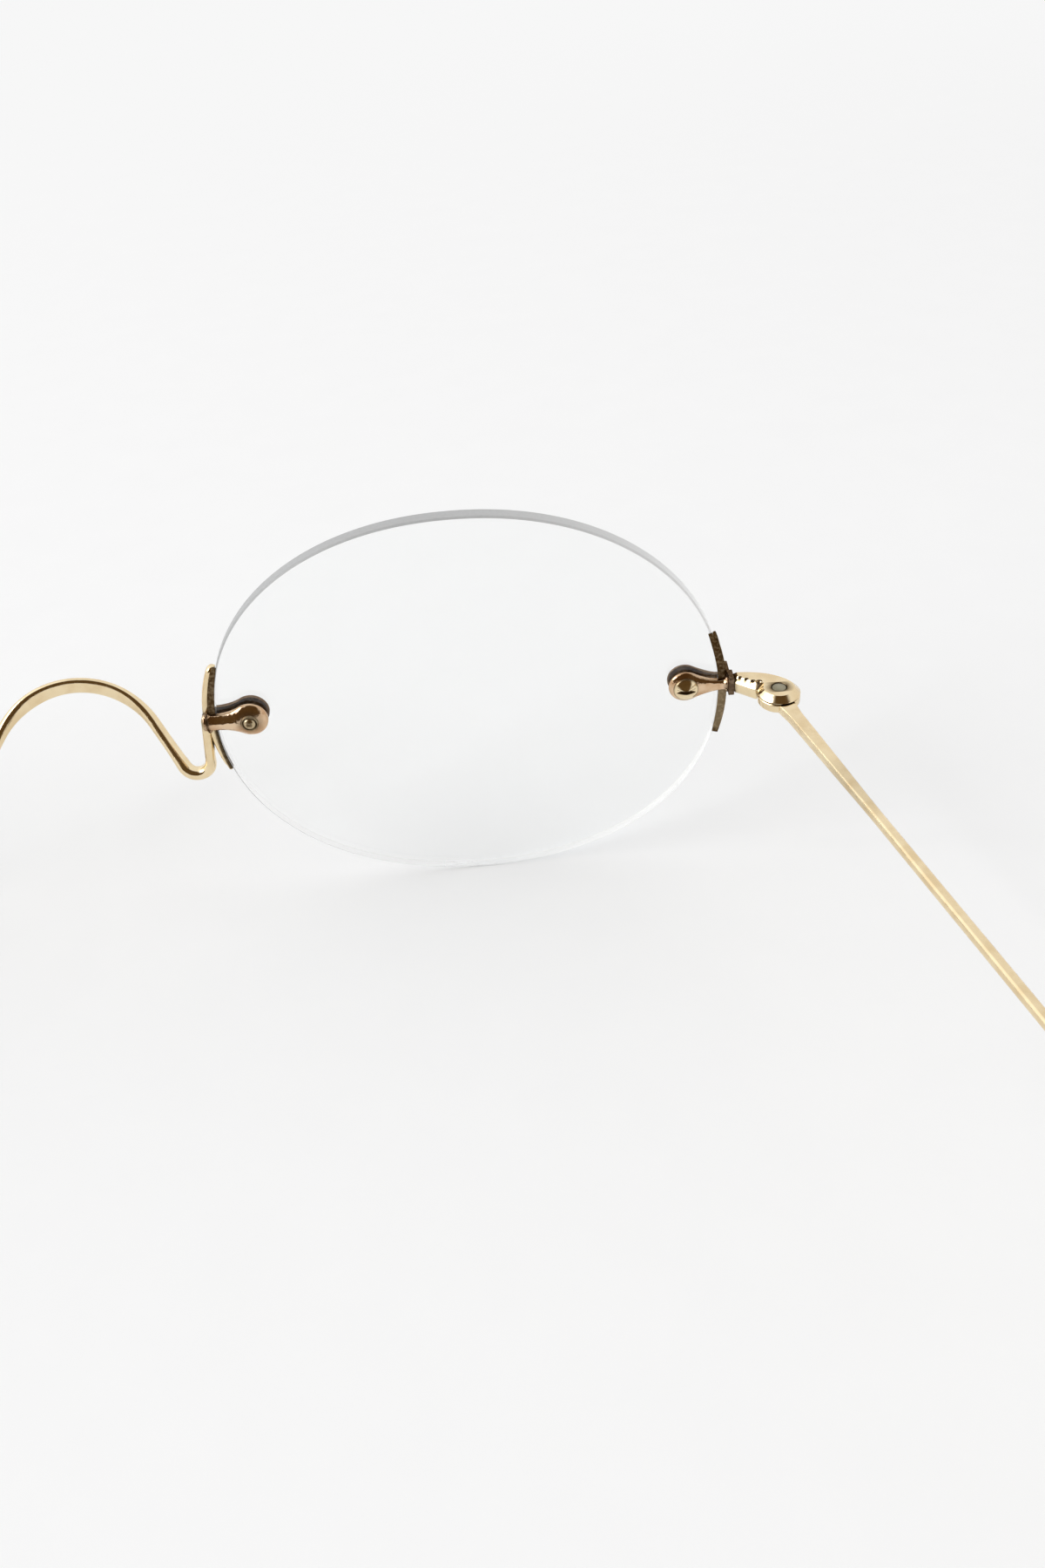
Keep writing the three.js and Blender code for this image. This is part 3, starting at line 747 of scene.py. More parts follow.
# Mounts, both drawn on the outer side of the right lens; the nasal one is reflected later
def screw_place(node):
    low, high = corners(node)
    place = (low + high) / 2
    return Vector((LENS.x + abs(place.x - LENS.x), LENS.y, place.z))


NASAL = SimpleNamespace(
    screw=screw_place("nasal_screw_right"),
    ear_radius=1.45,
    ear_height=0.85,
    ear_wall=0.28,
    ear_power=1.45,
    neck_half=0.72,
    front_neck_half=0.72,
    neck_power=1.6,
    neck_height=0.74,
    web_rear=1.1,
    web_belly=0.0,
    rib_foul=0.3,
    shoe_up=4.45,
    shoe_foul=0.98,
    lip_low=0.3,
    lip_high=5.07,
    lip_reach=0.14,
    lip_slide=0.0,
)
TEMPORAL = SimpleNamespace(
    screw=screw_place("temporal_screw_right"),
    ear_radius=1.35,
    ear_height=0.6,
    ear_wall=0.14,
    ear_power=1.8,
    neck_half=0.48,
    front_neck_half=0.26,
    neck_power=3.2,
    neck_height=0.5,
    web_rear=1.75,
    web_belly=0.3,
    rib_foul=0.92,
    shoe_up=3.75,
    shoe_foul=1.0,
    lip_low=-SHOE_DOWN,
    lip_high=4.47,
    lip_reach=0.24,
    lip_slide=0.12,
)


def mount_at(p):
    return NASAL if p.x < LENS.x else TEMPORAL


# Lenses: a flat oval with a bevelled rim and two drilled holes
def lens():
    outline = []
    for k in range(RIM_POINTS):
        turn = 2 * math.pi * (k + 0.5) / RIM_POINTS
        x = HALF_WIDTH * signed_power(math.cos(turn), 2 / FULLNESS)
        z = HALF_HEIGHT * signed_power(math.sin(turn), 2 / FULLNESS)
        outline.append(Vector((x, z)))
    bevel_end = HALF_GLASS - RIM_BEVEL
    front = [
        (0, bevel_end - RIM_EASE_RUN),
        (RIM_EASE, bevel_end + RIM_EASE),
        (RIM_BEVEL, HALF_GLASS),
        (RIM_LAND, HALF_GLASS),
    ]
    rear = [(distance, -height) for distance, height in reversed(front)]
    holes = []
    for side, mount in ((1, TEMPORAL), (-1, NASAL)):
        away = mount.screw - LENS
        ring = circle(Vector((side * away.x, away.z)), HOLE_RADIUS, BORE_SIDES)
        holes.append((ring, [(0, -HALF_GLASS), (0, HALF_GLASS)]))
    points, faces = plate(outline, rear + front, holes)
    return [LENS + Vector((p.x, -p.z, p.y)) for p in points], faces


def add_lenses():
    for piece in add_both("lens", [lens()], "glass", lambda p: 0.0, sharp=20):
        piece.data.materials.append(GROUND_EDGE)
        for face in piece.data.polygons:
            x = abs(face.center.x) / MM - LENS.x
            z = face.center.z / MM - LENS.z
            out = abs(x / HALF_WIDTH) ** FULLNESS + abs(z / HALF_HEIGHT) ** FULLNESS
            if out > RIM_SHARE and abs(face.normal.y) < FLAT_NORMAL:
                face.material_index = 1


# Straps: a web outside the glass and a pear-shaped ear on each face of it
EAR_BASE = HALF_GLASS + GLASS_GAP
MOUNT_EDGE = LENS.x + lens_edge(MOUNT_Z - LENS.z)
WEB_OUTER = strap_high.x
WEB_INNER = WEB_OUTER - WEB_THICKNESS
ARM_FRONT = LENS.y - ARM_SETBACK + ARM_DEPTH / 2
ARM_REAR = ARM_FRONT - ARM_DEPTH


def ear_half_width(mount, x, neck_half):
    """A round end round the screw, and from there a smooth curve to the neck at the edge of the glass."""
    away = x - mount.screw.x
    join = mount.ear_radius * math.cos(EAR_JOIN)
    if away <= join:
        return math.sqrt(max(0.0, mount.ear_radius ** 2 - away ** 2))
    run = MOUNT_EDGE - mount.screw.x - join
    t = min(1.0, (away - join) / run)
    start = mount.ear_radius * math.sin(EAR_JOIN)
    slope = -run / math.tan(EAR_JOIN)
    return (
        (2 * t ** 3 - 3 * t ** 2 + 1) * start
        + (t ** 3 - 2 * t ** 2 + t) * slope
        + (3 * t ** 2 - 2 * t ** 3) * neck_half
    )


def ear_rise(mount, x, across, half, seat_radius, seat_depth):
    """The height of an ear above the glass: a wall, a crown, and a round seat for the screw."""
    away = x - mount.screw.x
    crown = blend(mount.ear_height, mount.neck_height, smooth_step(*NECK_DIP, away))
    power = blend(mount.ear_power, mount.neck_power, smooth_step(*NECK_FLATTENING, away))
    share = abs(across) / max(half, 1e-6)
    if away < 0:
        share = math.hypot(away, across) / mount.ear_radius
    rise = blend(mount.ear_wall, crown, max(0.0, 1 - min(1.0, share) ** power) ** (1 / power))
    if math.hypot(away, across) < seat_radius:
        rise = min(rise, mount.ear_height - seat_depth)
    return rise


def ear(mount, direction, seat, neck_half):
    """One ear, flat towards the glass and domed away from it."""
    points = []
    tip = mount.screw.x - mount.ear_radius
    end = WEB_OUTER - EAR_END_INSET
    for r in range(EAR_ROWS):
        t = r / (EAR_ROWS - 1)
        x = tip + EAR_TIP_GAP + (end - tip) * (1 - math.cos(t * math.pi / 2)) ** EAR_SPREAD
        half = ear_half_width(mount, x, neck_half)
        acrosses = [half * math.sin((c / EAR_COLUMNS - 0.5) * math.pi) for c in range(EAR_COLUMNS + 1)]
        dome = [(across, ear_rise(mount, x, across, half, *seat)) for across in acrosses]
        flat = [(across, 0.0) for across in reversed(acrosses[1:-1])]
        for across, rise in dome + flat:
            points.append(Vector((x, LENS.y + direction * (EAR_BASE + rise), mount.screw.z + across)))
    return points, closed_tube(EAR_ROWS, 2 * EAR_COLUMNS)


def strap(mount, rear_seat, front_seat):
    rear = ear(mount, -1, rear_seat, mount.neck_half)
    front = ear(mount, 1, front_seat, mount.front_neck_half)
    low = MOUNT_Z - WEB_HALF_HEIGHT
    high = MOUNT_Z + WEB_HALF_HEIGHT
    web = box(
        Vector((WEB_INNER, LENS.y - EAR_BASE - WEB_REAR_LAP, low + WEB_TRIM)),
        Vector((WEB_INNER + WEB_CORE, LENS.y + EAR_BASE + WEB_FRONT_LAP, high - WEB_TRIM)),
    )
    rib = box(
        Vector((WEB_INNER + RIB_INSET, LENS.y - mount.web_rear, low - mount.web_belly)),
        Vector((WEB_OUTER, ARM_FRONT, high)),
    )
    neck = Vector((WEB_INNER + SOLDER_INSET, LENS.y - EAR_BASE - SOLDER_DEPTH, mount.screw.z))
    solder = [
        blob(neck + Vector((0, SOLDER_FORWARD, mount.neck_half)), UPPER_SOLDER),
        blob(neck + Vector((0, SOLDER_FORWARD, -mount.neck_half)), LOWER_SOLDER),
        blob(neck + MIDDLE_SOLDER_PLACE, MIDDLE_SOLDER),
    ]
    return fused("strap", [rear, front, web, rib, *solder])


def strap_tarnish(p):
    """Dirt on the rib, in the crack beside it, next to the glass, and round the tip of the nasal screw."""
    mount = mount_at(p)
    behind = p.y < LENS.y
    x = LENS.x + abs(p.x - LENS.x)
    reach = abs(p.y - LENS.y) - EAR_BASE
    around = math.hypot(x - mount.screw.x, p.z - mount.screw.z)
    rib = mount.rib_foul * smooth_step(MOUNT_EDGE + RIB_FOUL_START, WEB_INNER + RIB_FOUL_END, x)
    crack = CRACK_DIRT.at(abs(x - WEB_INNER - CRACK_INSET))
    inner = (EAR_REAR_DIRT if behind else EAR_FRONT_DIRT).at(reach)
    tip = NASAL_TIP_STAIN.at(around) if mount is NASAL and behind else 0
    return max(rib, crack, inner, tip)


# Shoes: leaves that follow the edge of the glass; the nasal one has a rounded back above and below
def along_edge(low, high, rows):
    """Places on the edge of the glass between two heights over the mount, each with the way out."""
    places = []
    for r in range(rows):
        z = MOUNT_Z - LENS.z + low + (high - low) * r / (rows - 1)
        gain = lens_edge(z + EDGE_STEP) - lens_edge(z - EDGE_STEP)
        along = Vector((gain, 0, 2 * EDGE_STEP)).normalized()
        out = Vector((along.z, 0, -along.x))
        places.append((Vector((LENS.x + lens_edge(z), LENS.y, LENS.z + z)), out))
    return places


def shoe_share(mount, z):
    """How far along its half of the shoe a height is, from the middle to the tip."""
    above = z - MOUNT_Z
    return above / mount.shoe_up if above > 0 else -above / SHOE_DOWN


def leaf(mount):
    stations = []
    for edge, out in along_edge(-SHOE_DOWN, mount.shoe_up, SHOE_ROWS):
        share = shoe_share(mount, edge.z)
        late = ramp(SHOE_TIP_START, 1, share)
        thin = SHOE_THICKNESS / 2 * (1 - SHOE_TAPER * share ** 2)
        depth = HALF_GLASS * blend(SHOE_TIP_DEPTH, 1, math.sqrt(1 - late ** 2))
        stations.append((edge + out * (GLASS_GAP + thin), out, FORWARD, thin, depth, LEAF_POWER))
    return sweep(stations, BROAD_BAR_SIDES)


def lip(mount):
    """A narrow flange of the leaf that laps over the rear rim of the glass."""
    rear = FORWARD * -(HALF_GLASS + GLASS_GAP + LIP_THICKNESS / 2)
    stations = []
    for edge, out in along_edge(mount.lip_low, mount.lip_high, SHOE_ROWS):
        share = shoe_share(mount, edge.z)
        half = (mount.lip_reach + GLASS_GAP + SHOE_THICKNESS) / 2 * (1 - LIP_TAPER * share ** 3)
        across = GLASS_GAP + SHOE_THICKNESS * (1 - SHOE_TAPER * share ** 2) - half
        if edge.z > MOUNT_Z:
            across -= mount.lip_slide * share ** 2
        stations.append((edge + out * across + rear, out, FORWARD, half, LIP_THICKNESS / 2, LIP_POWER))
    return sweep(stations, BAR_SIDES)


def spine(start, end, half_thickness, half_width):
    """A rounded back on a nasal leaf, from the strap to a slimmer, rounded tip."""
    stations = []
    places = along_edge(start, end, SPINE_ROWS)
    for i, (edge, out) in enumerate(places):
        share = i / (len(places) - 1)
        late = ramp(SPINE_TIP_START, 1, share)
        end_round = blend(SPINE_TIP_SHARE, 1, math.sqrt(1 - late ** 2))
        thick = half_thickness * (1 - SPINE_THINNING * share ** 1.5) * end_round
        wide = half_width * (1 - SPINE_NARROWING * share) * end_round
        stations.append((edge + out * (GLASS_GAP + thick), out, FORWARD, thick, wide, SPINE_POWER))
    return sweep(stations, BAR_SIDES)


def shoe_tarnish(p):
    """Foul rear edges, dirt beside the strap, and foul tips on the temporal shoe."""
    mount = mount_at(p)
    share = shoe_share(mount, p.z)
    rear = mount.shoe_foul * SHOE_REAR_DIRT.at(p.y - LENS.y)
    tip = 0 if mount is NASAL else SHOE_TIP_DIRT.at(share)
    if p.z < MOUNT_Z:
        outside = abs(p.x - LENS.x) - lens_edge(p.z - LENS.z)
        rear *= LOWER_SPINE_DIRT.at(outside) if mount is NASAL else LOWER_SHOE_DIRT
    return max(rear, tip, SHOE_MIDDLE_DIRT.at(share))


# Screws: a slotted cone for a head on one face of the glass, and a rounded tip in a collar on the other
def slot_tool(head_radius, head_end, depth):
    """The cutter for a screw's slot, from the end of its head."""
    side = head_radius + SLOT_OVERCUT
    return box(
        Vector((-side, head_end - SLOT_OVERCUT, -SLOT_WIDTH / 2)),
        Vector((side, head_end + depth, SLOT_WIDTH / 2)),
    )


def screw(mount, head_side):
    seat = EAR_BASE + mount.ear_height
    length = 2 * seat
    profile = [(AXIS_RADIUS, -HEAD_HEIGHT)]
    for i in range(1, HEAD_STEPS + 1):
        share = i / HEAD_STEPS
        cone = HEAD_HEIGHT * (1 - share ** HEAD_POWER)
        profile.append((HEAD_RADIUS * share, -cone - HEAD_BULGE * math.sqrt(1 - share ** 2)))
    profile += [
        (HEAD_RADIUS, HEAD_RIM - HEAD_RIM_EASE / 2),
        (HEAD_RADIUS - HEAD_RIM_EASE, HEAD_RIM),
        (SHANK_RADIUS, HEAD_RIM),
        (SHANK_RADIUS, length - RING_DEPTH),
        (TIP_RING, length - RING_DEPTH),
        (TIP_RING, length - RING_EASE),
        (TIP_RING - RING_EASE, length + RING_RISE),
        (TIP_RING - RING_LAND, length + RING_RISE),
        (TIP_RADIUS, length - TIP_SINK),
    ]
    for i in range(1, TIP_STEPS + 1):
        a = math.pi / 2 * i / TIP_STEPS
        radius = max(AXIS_RADIUS, TIP_RADIUS * math.cos(a))
        profile.append((radius, length - TIP_SINK + TIP_RISE * math.sin(a)))
    slot = slot_tool(HEAD_RADIUS, -HEAD_HEIGHT, SLOT_DEPTH)
    points, faces = joined("screw", lathe(profile, SCREW_SIDES), slot)
    place = mount.screw + FORWARD * (head_side * seat)
    return [Vector((-head_side * p.x, -head_side * p.y, p.z)) + place for p in points], faces


def screw_tarnish(p):
    """Dirt along the slot and at the foot of the head, and a dull nasal tip."""
    mount = mount_at(p)
    reach = abs(p.y - LENS.y) - EAR_BASE - mount.ear_height
    slot = SLOT_DIRT.at(abs(p.z - mount.screw.z)) if reach > SLOT_DIRT_REACH else 0
    tip = NASAL_TIP_DULL if mount is NASAL and p.y < LENS.y else 0
    return max(slot, HEAD_FOOT_DIRT.at(reach), tip)


# Endpiece: an arm that leaves the strap and turns back to the hinge's upper leaf
def endpiece():
    start = leaf_low.x - ARM_ROOT_GAP
    hinge = HINGE.xy

    def on_disc(turn):
        return hinge + Vector((math.cos(turn), math.sin(turn))) * HINGE_RADIUS
    inner = on_disc(INNER_TURN)
    outer = on_disc(OUTER_TURN)
    run = inner.x - start
    shoulder = (outer.x - start) / 2
    lead = Vector((-math.sin(OUTER_TURN), math.cos(OUTER_TURN))) * shoulder * SHOULDER_LEAD
    root = Vector((start, ARM_FRONT))
    arc = OUTER_TURN + 2 * math.pi - INNER_TURN
    curve = [Vector((start + run * share, ARM_REAR + y)) for share, y in ARM_CURVE]
    outline = interpolate_bezier(*curve, inner, ARM_STEPS + 1)[:-1]
    outline += [on_disc(INNER_TURN + arc * k / LEAF_STEPS) for k in range(LEAF_STEPS)]
    before_root = root + Vector((shoulder * ROOT_LEAD, 0))
    outline += interpolate_bezier(outer, outer + lead, before_root, root, SHOULDER_STEPS + 1)

    # The chamfer is full round the leaf and smaller along the arm
    less = 1 - ARM_CHAMFER_SHARE
    share = [1 - less * (1 - smooth_step(ARM_STEPS / 2, ARM_STEPS, k)) for k in range(ARM_STEPS)]
    share += [1.0] * LEAF_STEPS
    share += [1 - less * smooth_step(0, 0.7 * SHOULDER_STEPS, k) for k in range(SHOULDER_STEPS + 1)]
    bottom = leaf_low.z - ARM_BELLY
    top = leaf_high.z
    levels = [(distance, bottom + height) for distance, height in ARM_BELLY_LEVELS]
    for distance, below in CHAMFER_LEVELS:
        levels.append(([LEAF_CHAMFER * distance * s for s in share], top - LEAF_CHAMFER * below))
    arm = plate(outline, levels, [hinge_bore(bottom, top, LEAF_BORE_EASE)])
    for tool in (*pits(), *notches()):
        arm = joined("arm", arm, tool)
    return arm


def hinge_bore(bottom, top, top_ease):
    """A hole for the hinge screw, with its edges broken."""
    levels = [(-BORE_EASE, bottom), (0, bottom + BORE_EASE), (0, top - top_ease), (-BORE_EASE, top)]
    return circle(HINGE, BORE_RADIUS, BORE_SIDES), levels


def notches():
    """Room under the leaf for the eyelet, and for the blade when it folds."""
    low = leaf_low.z - NOTCH_OVERCUT
    high = leaf_high.z - LEAF_THICKNESS
    ring = circle(HINGE, HINGE_RADIUS + NOTCH_GAP, DISC_SIDES)
    blade = box(
        Vector((leaf_low.x - BLADE_ROOM_LEAD, HINGE.y - HINGE_RADIUS, low)),
        Vector((HINGE.x, HINGE.y + BLADE_ROOT_HALF + NOTCH_GAP, high)),
    )
    return plate(ring, [(0, low), (0, high)]), blade


def pits():
    """Small hollows in a ragged row along the rear edge of the arm, where the solder has sunk."""
    hollows = []
    for k in range(PITS):
        sway = PIT_SWAY * math.sin(PIT_WAVE * k + PIT_PHASE)
        size = PIT_SIZE + PIT_GROWTH * k ** 2
        centre = pit_line(PIT_START + PIT_STEP * k) + FORWARD * sway
        hollows.append(blob(centre, (PIT_STRETCH * size, size, size), 2))
    return hollows


def pit_line(along):
    """A place on the worn ridge between the top of the arm and its rear face."""
    y = ARM_REAR + PIT_LINE_ROOT - PIT_LINE_SLOPE * along
    return Vector((leaf_low.x + along, y, leaf_high.z - PIT_SINK))


def endpiece_tarnish(p):
    """Dirt at the root of the arm, round the screw and in the pits."""
    below = leaf_high.z - p.z
    aside = abs(p.y - pit_line(p.x - leaf_low.x).y)
    sunk = PIT_TOP_DIRT.at(below) * PIT_FLOOR_DIRT.at(below)
    pit = PIT_ROW_DIRT.at(p.x - HINGE.x) * sunk * PIT_SIDE_DIRT.at(aside)
    return max(ARM_ROOT_DIRT.at(p.x - WEB_OUTER), LEAF_BORE_DIRT.at(from_hinge(p) - BORE_RADIUS), pit)


# Hinge screw: a flush end on top of the leaf and a slotted head under the eyelet
def hinge_screw():
    top = leaf_high.z - PIN_FLUSH
    seat = pin_low.z + PIN_HEAD_HEIGHT
    profile = [
        (AXIS_RADIUS, top),
        (PIN_RADIUS - PIN_EASE, top),
        (PIN_RADIUS, top - PIN_EASE_DROP),
        (PIN_RADIUS, seat),
        (PIN_HEAD_RADIUS, seat),
    ]
    profile += [(PIN_HEAD_RADIUS - less, seat - PIN_HEAD_HEIGHT * share) for less, share in PIN_HEAD_EDGE]
    profile.append((AXIS_RADIUS, pin_low.z))
    slot = slot_tool(PIN_HEAD_RADIUS, pin_low.z, PIN_SLOT_DEPTH)
    points, faces = joined("pin", lathe(profile, SCREW_SIDES), slot)
    return [Vector((HINGE.x + p.x, HINGE.y - p.z, p.y)) for p in points], faces


def pin_tarnish(p):
    return PIN_EDGE_DIRT.at(from_hinge(p) - PIN_RADIUS)


# Bridge: a flattened wire with two legs, two loops and a wide arch that leans forward
def bridge_path():
    """The middle of the wire, from the top of the crest to the end of the right leg."""
    lowest = MOUNT_Z - LOOP_DROP
    end = Vector((2 * LENS.x - WEB_INNER - LEG_HALF_WIDTH, MOUNT_Z - LEG_END_DROP))
    crest = Vector((0, lowest + CREST_RISE - CREST_RADIUS))
    loop = Vector((end.x - LOOP_INSET, lowest + LOOP_RADIUS))
    between = loop - crest
    flank = math.atan2(between.y, between.x) + math.acos((CREST_RADIUS + LOOP_RADIUS) / between.length)
    rise = end - loop
    leg = math.atan2(rise.y, rise.x) - math.acos(LOOP_RADIUS / rise.length)

    def arc(centre, radius, start, stop):
        turns = [start + (stop - start) * k / ARC_STEPS for k in range(ARC_STEPS + 1)]
        return [centre + Vector((math.cos(t), math.sin(t))) * radius for t in turns]

    def line(a, b, count):
        return [a + (b - a) * k / count for k in range(1, count)]
    top = arc(crest, CREST_RADIUS, math.pi / 2, flank)
    turn = arc(loop, LOOP_RADIUS, flank - math.pi, leg)
    flat = top + line(top[-1], turn[0], FLANK_STEPS) + turn + line(turn[-1], end, LEG_STEPS) + [end]
    path = []
    for p in flat:
        lean = ARCH_LEAN if p.x < loop.x else 0.0
        up = p.y - lowest
        path.append(Vector((p.x, LENS.y + up * math.sin(lean), lowest + up * math.cos(lean))))
    return path


def bridge():
    path = bridge_path()
    half = []
    along = ACROSS
    deep = FORWARD
    run = 0.0
    for i, centre in enumerate(path):
        if i > 0:
            run += (centre - path[i - 1]).length
            following = (path[min(i + 1, len(path) - 1)] - path[i - 1]).normalized()
            deep = (along.rotation_difference(following) @ deep).normalized()
            along = following
        crest = smooth_step(*CREST_RUN, run)
        leg = smooth_step(*LEG_RUN, run)
        loop = smooth_step(*LOOP_RISE, centre.z - MOUNT_Z + LOOP_DROP)
        half_tall = WIRE_HALF_TALL + CREST_EXTRA_TALL * crest + LOOP_EXTRA_TALL * loop
        half_tall += (LEG_HALF_WIDTH - WIRE_HALF_TALL) * leg
        half_deep = WIRE_HALF_DEEP - CREST_LESS_DEEP * crest + LEG_EXTRA_DEEP * leg
        power = BRIDGE_POWER + CREST_EXTRA_POWER * crest
        half.append((centre, deep, along.cross(deep), half_deep, half_tall, power))
    other = [(mirror(c), mirror(d), mirror(t), *rest) for c, d, t, *rest in reversed(half[1:])]
    return sweep(other + half, BROAD_BAR_SIDES)


def bridge_tarnish(p):
    """Dirt at the end of each leg, where it meets the strap."""
    side = LEG_SIDE_DIRT.at(abs(p.x) - lens_low.x)
    return LEG_END_DIRT.at(p.z - MOUNT_Z) * side * LEG_FRONT_DIRT.at(p.y - LENS.y)


# Temple: an eyelet, a tapered blade, a straight wire and an ear bend whose tip rests on the table
def eyelet():
    top = eyelet_high.z
    bottom = top - EYELET_HEIGHT
    turns = [math.pi / 2 * k / EYELET_STEPS for k in range(EYELET_STEPS + 1)]
    low, high = EYELET_LOW_ROUND, EYELET_HIGH_ROUND
    levels = [(EYELET_LOW_FLAT, bottom)]
    levels += [(low * (1 - math.sin(t)), bottom + low * (1 - math.cos(t))) for t in turns]
    levels += [(high * (1 - math.cos(t)), top - high * (1 - math.sin(t))) for t in turns]
    levels.append((EYELET_HIGH_FLAT, top))
    ring = circle(HINGE, HINGE_RADIUS, DISC_SIDES)
    return plate(ring, levels, [hinge_bore(bottom, top, BORE_EASE)])


def temple_shaft():
    back = Vector((math.sin(SPLAY), -math.cos(SPLAY), 0))
    side = Vector((math.cos(SPLAY), math.sin(SPLAY), 0))
    hinge = Vector((HINGE.x, HINGE.y, eyelet_high.z - EYELET_HEIGHT / 2))
    stations = []

    def wire(place, up, power=WIRE_POWER, radius=WIRE_RADIUS):
        stations.append((place, side, up, radius, radius, power))
    start = BORE_RADIUS + BLADE_START
    for k in range(BLADE_STEPS + 1):
        s = start + (BLADE_BLEND_LENGTH - start) * k / BLADE_STEPS
        taper = min(1.0, s / BLADE_LENGTH) ** BLADE_TAPER
        flare = FLARE * smooth_step(*FLARE_RUN, s)
        half = blend(BLADE_ROOT_HALF, WIRE_RADIUS, taper) + flare
        power = blend(BLADE_POWER, WIRE_POWER, smooth_step(*BLADE_SQUARE_RUN, s))
        stations.append((hinge + back * s, side, UP, half, EYELET_HEIGHT / 2, power))
    for k in range(1, STRAIGHT_STEPS + 1):
        s = BLADE_BLEND_LENGTH + (STRAIGHT_LENGTH - BLADE_BLEND_LENGTH) * k / STRAIGHT_STEPS
        wire(hinge + back * s, UP)
    centre = hinge + back * STRAIGHT_LENGTH - UP * EAR_BEND_RADIUS
    for k in range(1, BEND_STEPS + 1):
        a = EAR_BEND_ANGLE * k / BEND_STEPS
        out = back * math.sin(a) + UP * math.cos(a)
        wire(centre + out * EAR_BEND_RADIUS, out)
    bend_end = centre + out * EAR_BEND_RADIUS
    along = back * math.cos(EAR_BEND_ANGLE) - UP * math.sin(EAR_BEND_ANGLE)
    tail = (bend_end.z - WIRE_RADIUS) / math.sin(EAR_BEND_ANGLE)
    for k in range(1, TAIL_STEPS + 1):
        share = k / TAIL_STEPS
        wire(bend_end + along * tail * share, out, blend(WIRE_POWER, 2, share))
    for k in range(1, TAIL_END_STEPS + 1):
        a = math.pi / 2 * k / TAIL_END_STEPS
        place = bend_end + along * (tail + WIRE_RADIUS * math.sin(a))
        wire(place, out, 2, max(AXIS_RADIUS, WIRE_RADIUS * math.cos(a)))
    return sweep(stations, BAR_SIDES)


def temple_tarnish(p):
    """Dirt in the bore and a faint stain on the blade."""
    around = from_hinge(p)
    stain = BLADE_STAIN.at(around) * BLADE_STAIN_END.at(around)
    return max(EYELET_BORE_DIRT.at(around - BORE_RADIUS), stain)


def add_metalwork():
    head_seat = (HEAD_RADIUS + HEAD_SEAT_GAP, HEAD_SEAT_DEPTH)
    tip_seat = (TIP_RING + RING_SEAT_GAP, RING_SEAT_DEPTH)
    temporal_strap = strap(TEMPORAL, rear_seat=head_seat, front_seat=tip_seat)
    nasal_strap = strap(NASAL, rear_seat=tip_seat, front_seat=head_seat)
    nasal_shoe = [leaf(NASAL), lip(NASAL), spine(**UPPER_SPINE), spine(**LOWER_SPINE)]
    nasal_shoe = [reflect(part, LENS.x) for part in nasal_shoe]
    temple = joined("temple", eyelet(), temple_shaft(), "UNION")
    add_both("temporal_strap", [temporal_strap], "rose_gold", strap_tarnish)
    add_both("nasal_strap", [reflect(nasal_strap, LENS.x)], "rose_gold", strap_tarnish)
    add_both("temporal_screw", [screw(TEMPORAL, -1)], "gold", screw_tarnish)
    add_both("nasal_screw", [reflect(screw(NASAL, 1), LENS.x)], "gold", screw_tarnish)
    add_both("temporal_shoe", [leaf(TEMPORAL), lip(TEMPORAL)], "gold", shoe_tarnish)
    add_both("nasal_shoe", nasal_shoe, "gold", shoe_tarnish)
    add_both("endpiece", [endpiece()], "gold", endpiece_tarnish)
    add_both("hinge_screw", [hinge_screw()], "steel", pin_tarnish)
    add_both("temple", [temple], "gold", temple_tarnish)
    add_piece("bridge", [bridge()], "gold", "front", bridge_tarnish)


# Table, light and camera, in metres
def paper():
    """White paper. Mirrored rays see a painted shadow of the viewer on its near end, in a wedge that
    widens towards the viewer, and from a distance on it turns into the backdrop."""
    material, tree = new_material("paper")
    place = object_place(tree)
    split = add_node(tree, "SeparateXYZ", {"Vector": place}).outputs
    path = add_node(tree, "LightPath", {}).outputs
    mirrored = maths("SUBTRACT", path["Is Glossy Ray"], path["Is Transmission Ray"])
    # Painted shadow of the viewer on the near end of the paper, in a wedge, for mirrored rays only
    near = ranged(split["Y"], *SHADOW_WEDGE_START, 1.0, 0.0)
    shadow_half_wedge = ranged(split["Y"], -SHADOW_WEDGE_LENGTH, 0.0, SHADOW_WEDGE_HALF_WIDTH, 0.0)
    aside = maths("SUBTRACT", maths("ABSOLUTE", split["X"]), shadow_half_wedge)
    shadow_wedge = maths("MULTIPLY", near, ranged(aside, *SHADOW_WEDGE_EDGE, 1.0, 0.0))
    painted_shadow = maths("MULTIPLY", shadow_wedge, mirrored)
    white = mixed(noise(place, PAPER_GRAIN_SIZE, 6), PAPER_SHADE, PAPER_LIGHT)
    lit = add_node(tree, "BsdfDiffuse", {"Color": mixed(painted_shadow, white, VIEWER_SHADOW_TINT)})
    distance = add_node(tree, "VectorMath", {0: place, 1: FADE_CENTRE}, operation="DISTANCE")
    far = ranged(distance.outputs["Value"], FADE_START, FADE_END, 0.0, 1.0)
    seen = maths("MAXIMUM", path["Is Transmission Ray"], mirrored)
    seen = maths("MAXIMUM", path["Is Camera Ray"], seen)
    fade = maths("SUBTRACT", maths("MULTIPLY", far, seen), painted_shadow)
    show(mixed_shader(fade, lit, add_node(tree, "Emission", {"Strength": BACKDROP})))
    return material


def add_floor():
    size = FLOOR_HALF_SIZE
    mesh = bpy.data.meshes.new("floor")
    square = [(-size, -size, 0), (size, -size, 0), (size, size, 0), (-size, size, 0)]
    mesh.from_pydata(square, [], [(0, 1, 2, 3)])
    mesh.materials.append(paper())
    floor = placed("floor", mesh)


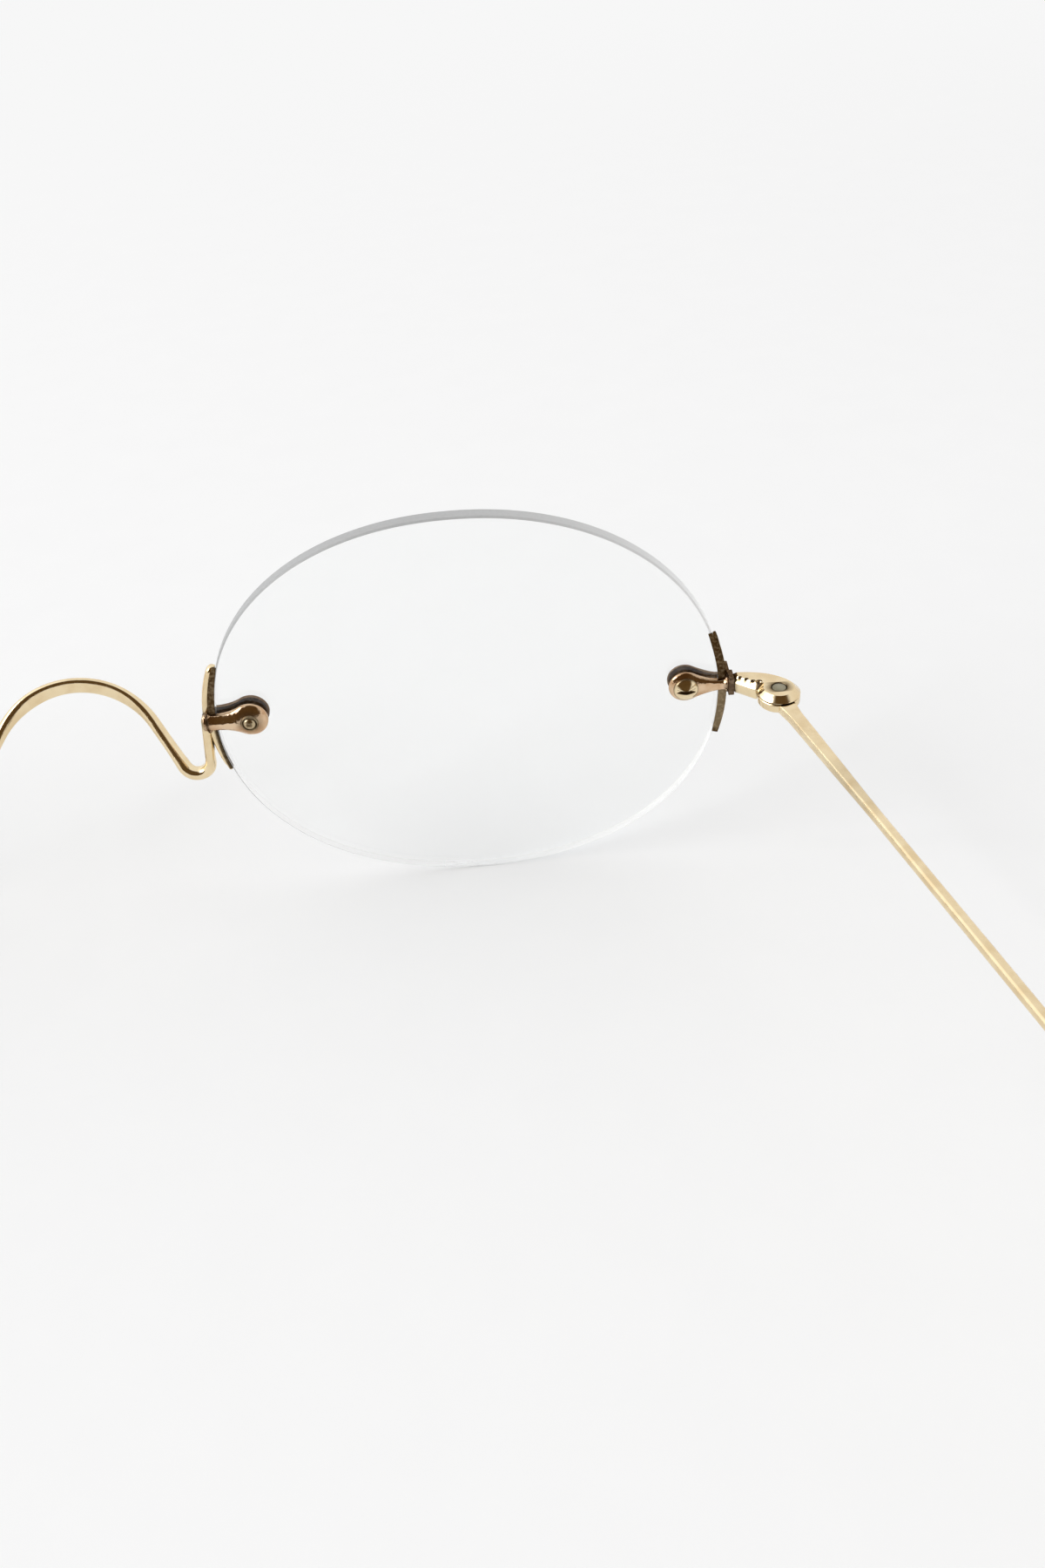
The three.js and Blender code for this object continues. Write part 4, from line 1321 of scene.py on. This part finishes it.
def add_world():
    """A pale room with a brighter window, and the dark shape of the viewer for metal to mirror.
    The camera, and what is seen through the glass, has the plain backdrop instead."""
    world = bpy.data.worlds.new("studio")
    bpy.context.scene.world = world
    world.use_nodes = True
    tree = world.node_tree
    tree.nodes.clear()
    way = add_node(tree, "TexCoord", {}).outputs["Generated"]

    def patch(direction, edge, core, stretch=(1, 1, 1), outside=0.0, inside=1.0):
        """A soft patch of the sky, from the cosine at its edge to the one at its core."""
        stretched = add_node(tree, "VectorMath", {0: way, 1: stretch}, operation="MULTIPLY")
        turned = add_node(tree, "VectorMath", {0: stretched.outputs["Vector"]}, operation="NORMALIZE")
        sockets = {0: turned.outputs["Vector"], 1: direction.normalized()}
        dot = add_node(tree, "VectorMath", sockets, operation="DOT_PRODUCT")
        return ranged(dot.outputs["Value"], edge, core, outside, inside)
    room = patch(WINDOW_WAY, edge=0.6, core=0.92, outside=ROOM_LIGHT, inside=WINDOW_LIGHT)
    head = patch(HEAD_WAY, edge=0.54, core=0.8, stretch=(1.6, 1, 1))
    body = patch(BODY_WAY, edge=0.61, core=0.75, stretch=(1, 1, 1.4))
    path = add_node(tree, "LightPath", {}).outputs
    seen = maths("MAXIMUM", path["Is Camera Ray"], path["Is Transmission Ray"])
    viewer = maths("SUBTRACT", maths("MAXIMUM", head, body), seen)
    background = add_node(tree, "Background", {
        "Color": mixed(viewer, WHITE, VIEWER_TINT),
        "Strength": add_node(tree, "Mix", {"Factor": seen, 2: room, 3: BACKDROP}).outputs[0],
    })
    add_node(tree, "OutputWorld", {"Surface": background.outputs["Background"]})


def add_lamp():
    light = bpy.data.lights.new("window", "AREA")
    light.shape = "RECTANGLE"
    light.size = LAMP_WIDTH
    light.size_y = LAMP_HEIGHT
    light.energy = LAMP_ENERGY
    lamp = placed("window", light)
    lamp.location = LAMP_PLACE
    lamp.rotation_euler = (LAMP_AIM - LAMP_PLACE).to_track_quat("-Z", "Y").to_euler()


def add_camera():
    data = bpy.data.cameras.new("camera")
    data.sensor_width = SENSOR
    data.lens = FOCAL_PIXELS / PICTURE_HEIGHT * SENSOR
    data.clip_start = CLIP_NEAR * MM
    data.clip_end = CLIP_FAR * MM
    camera = placed("camera", data)
    right = CAMERA_RIGHT.normalized()
    up = -CAMERA_DOWN
    up = (up - right * up.dot(right)).normalized()
    back = right.cross(up)
    turn = Matrix((right, up, back)).transposed().to_4x4()
    camera.matrix_world = Matrix.Translation((LENS + CAMERA_OFFSET) * MM) @ turn
    bpy.context.scene.camera = camera


add_camera()
add_floor()
add_world()
add_lamp()
add_lenses()
add_metalwork()
bpy.context.scene.view_settings.view_transform = "Standard"

bpy.context.view_layer.update()
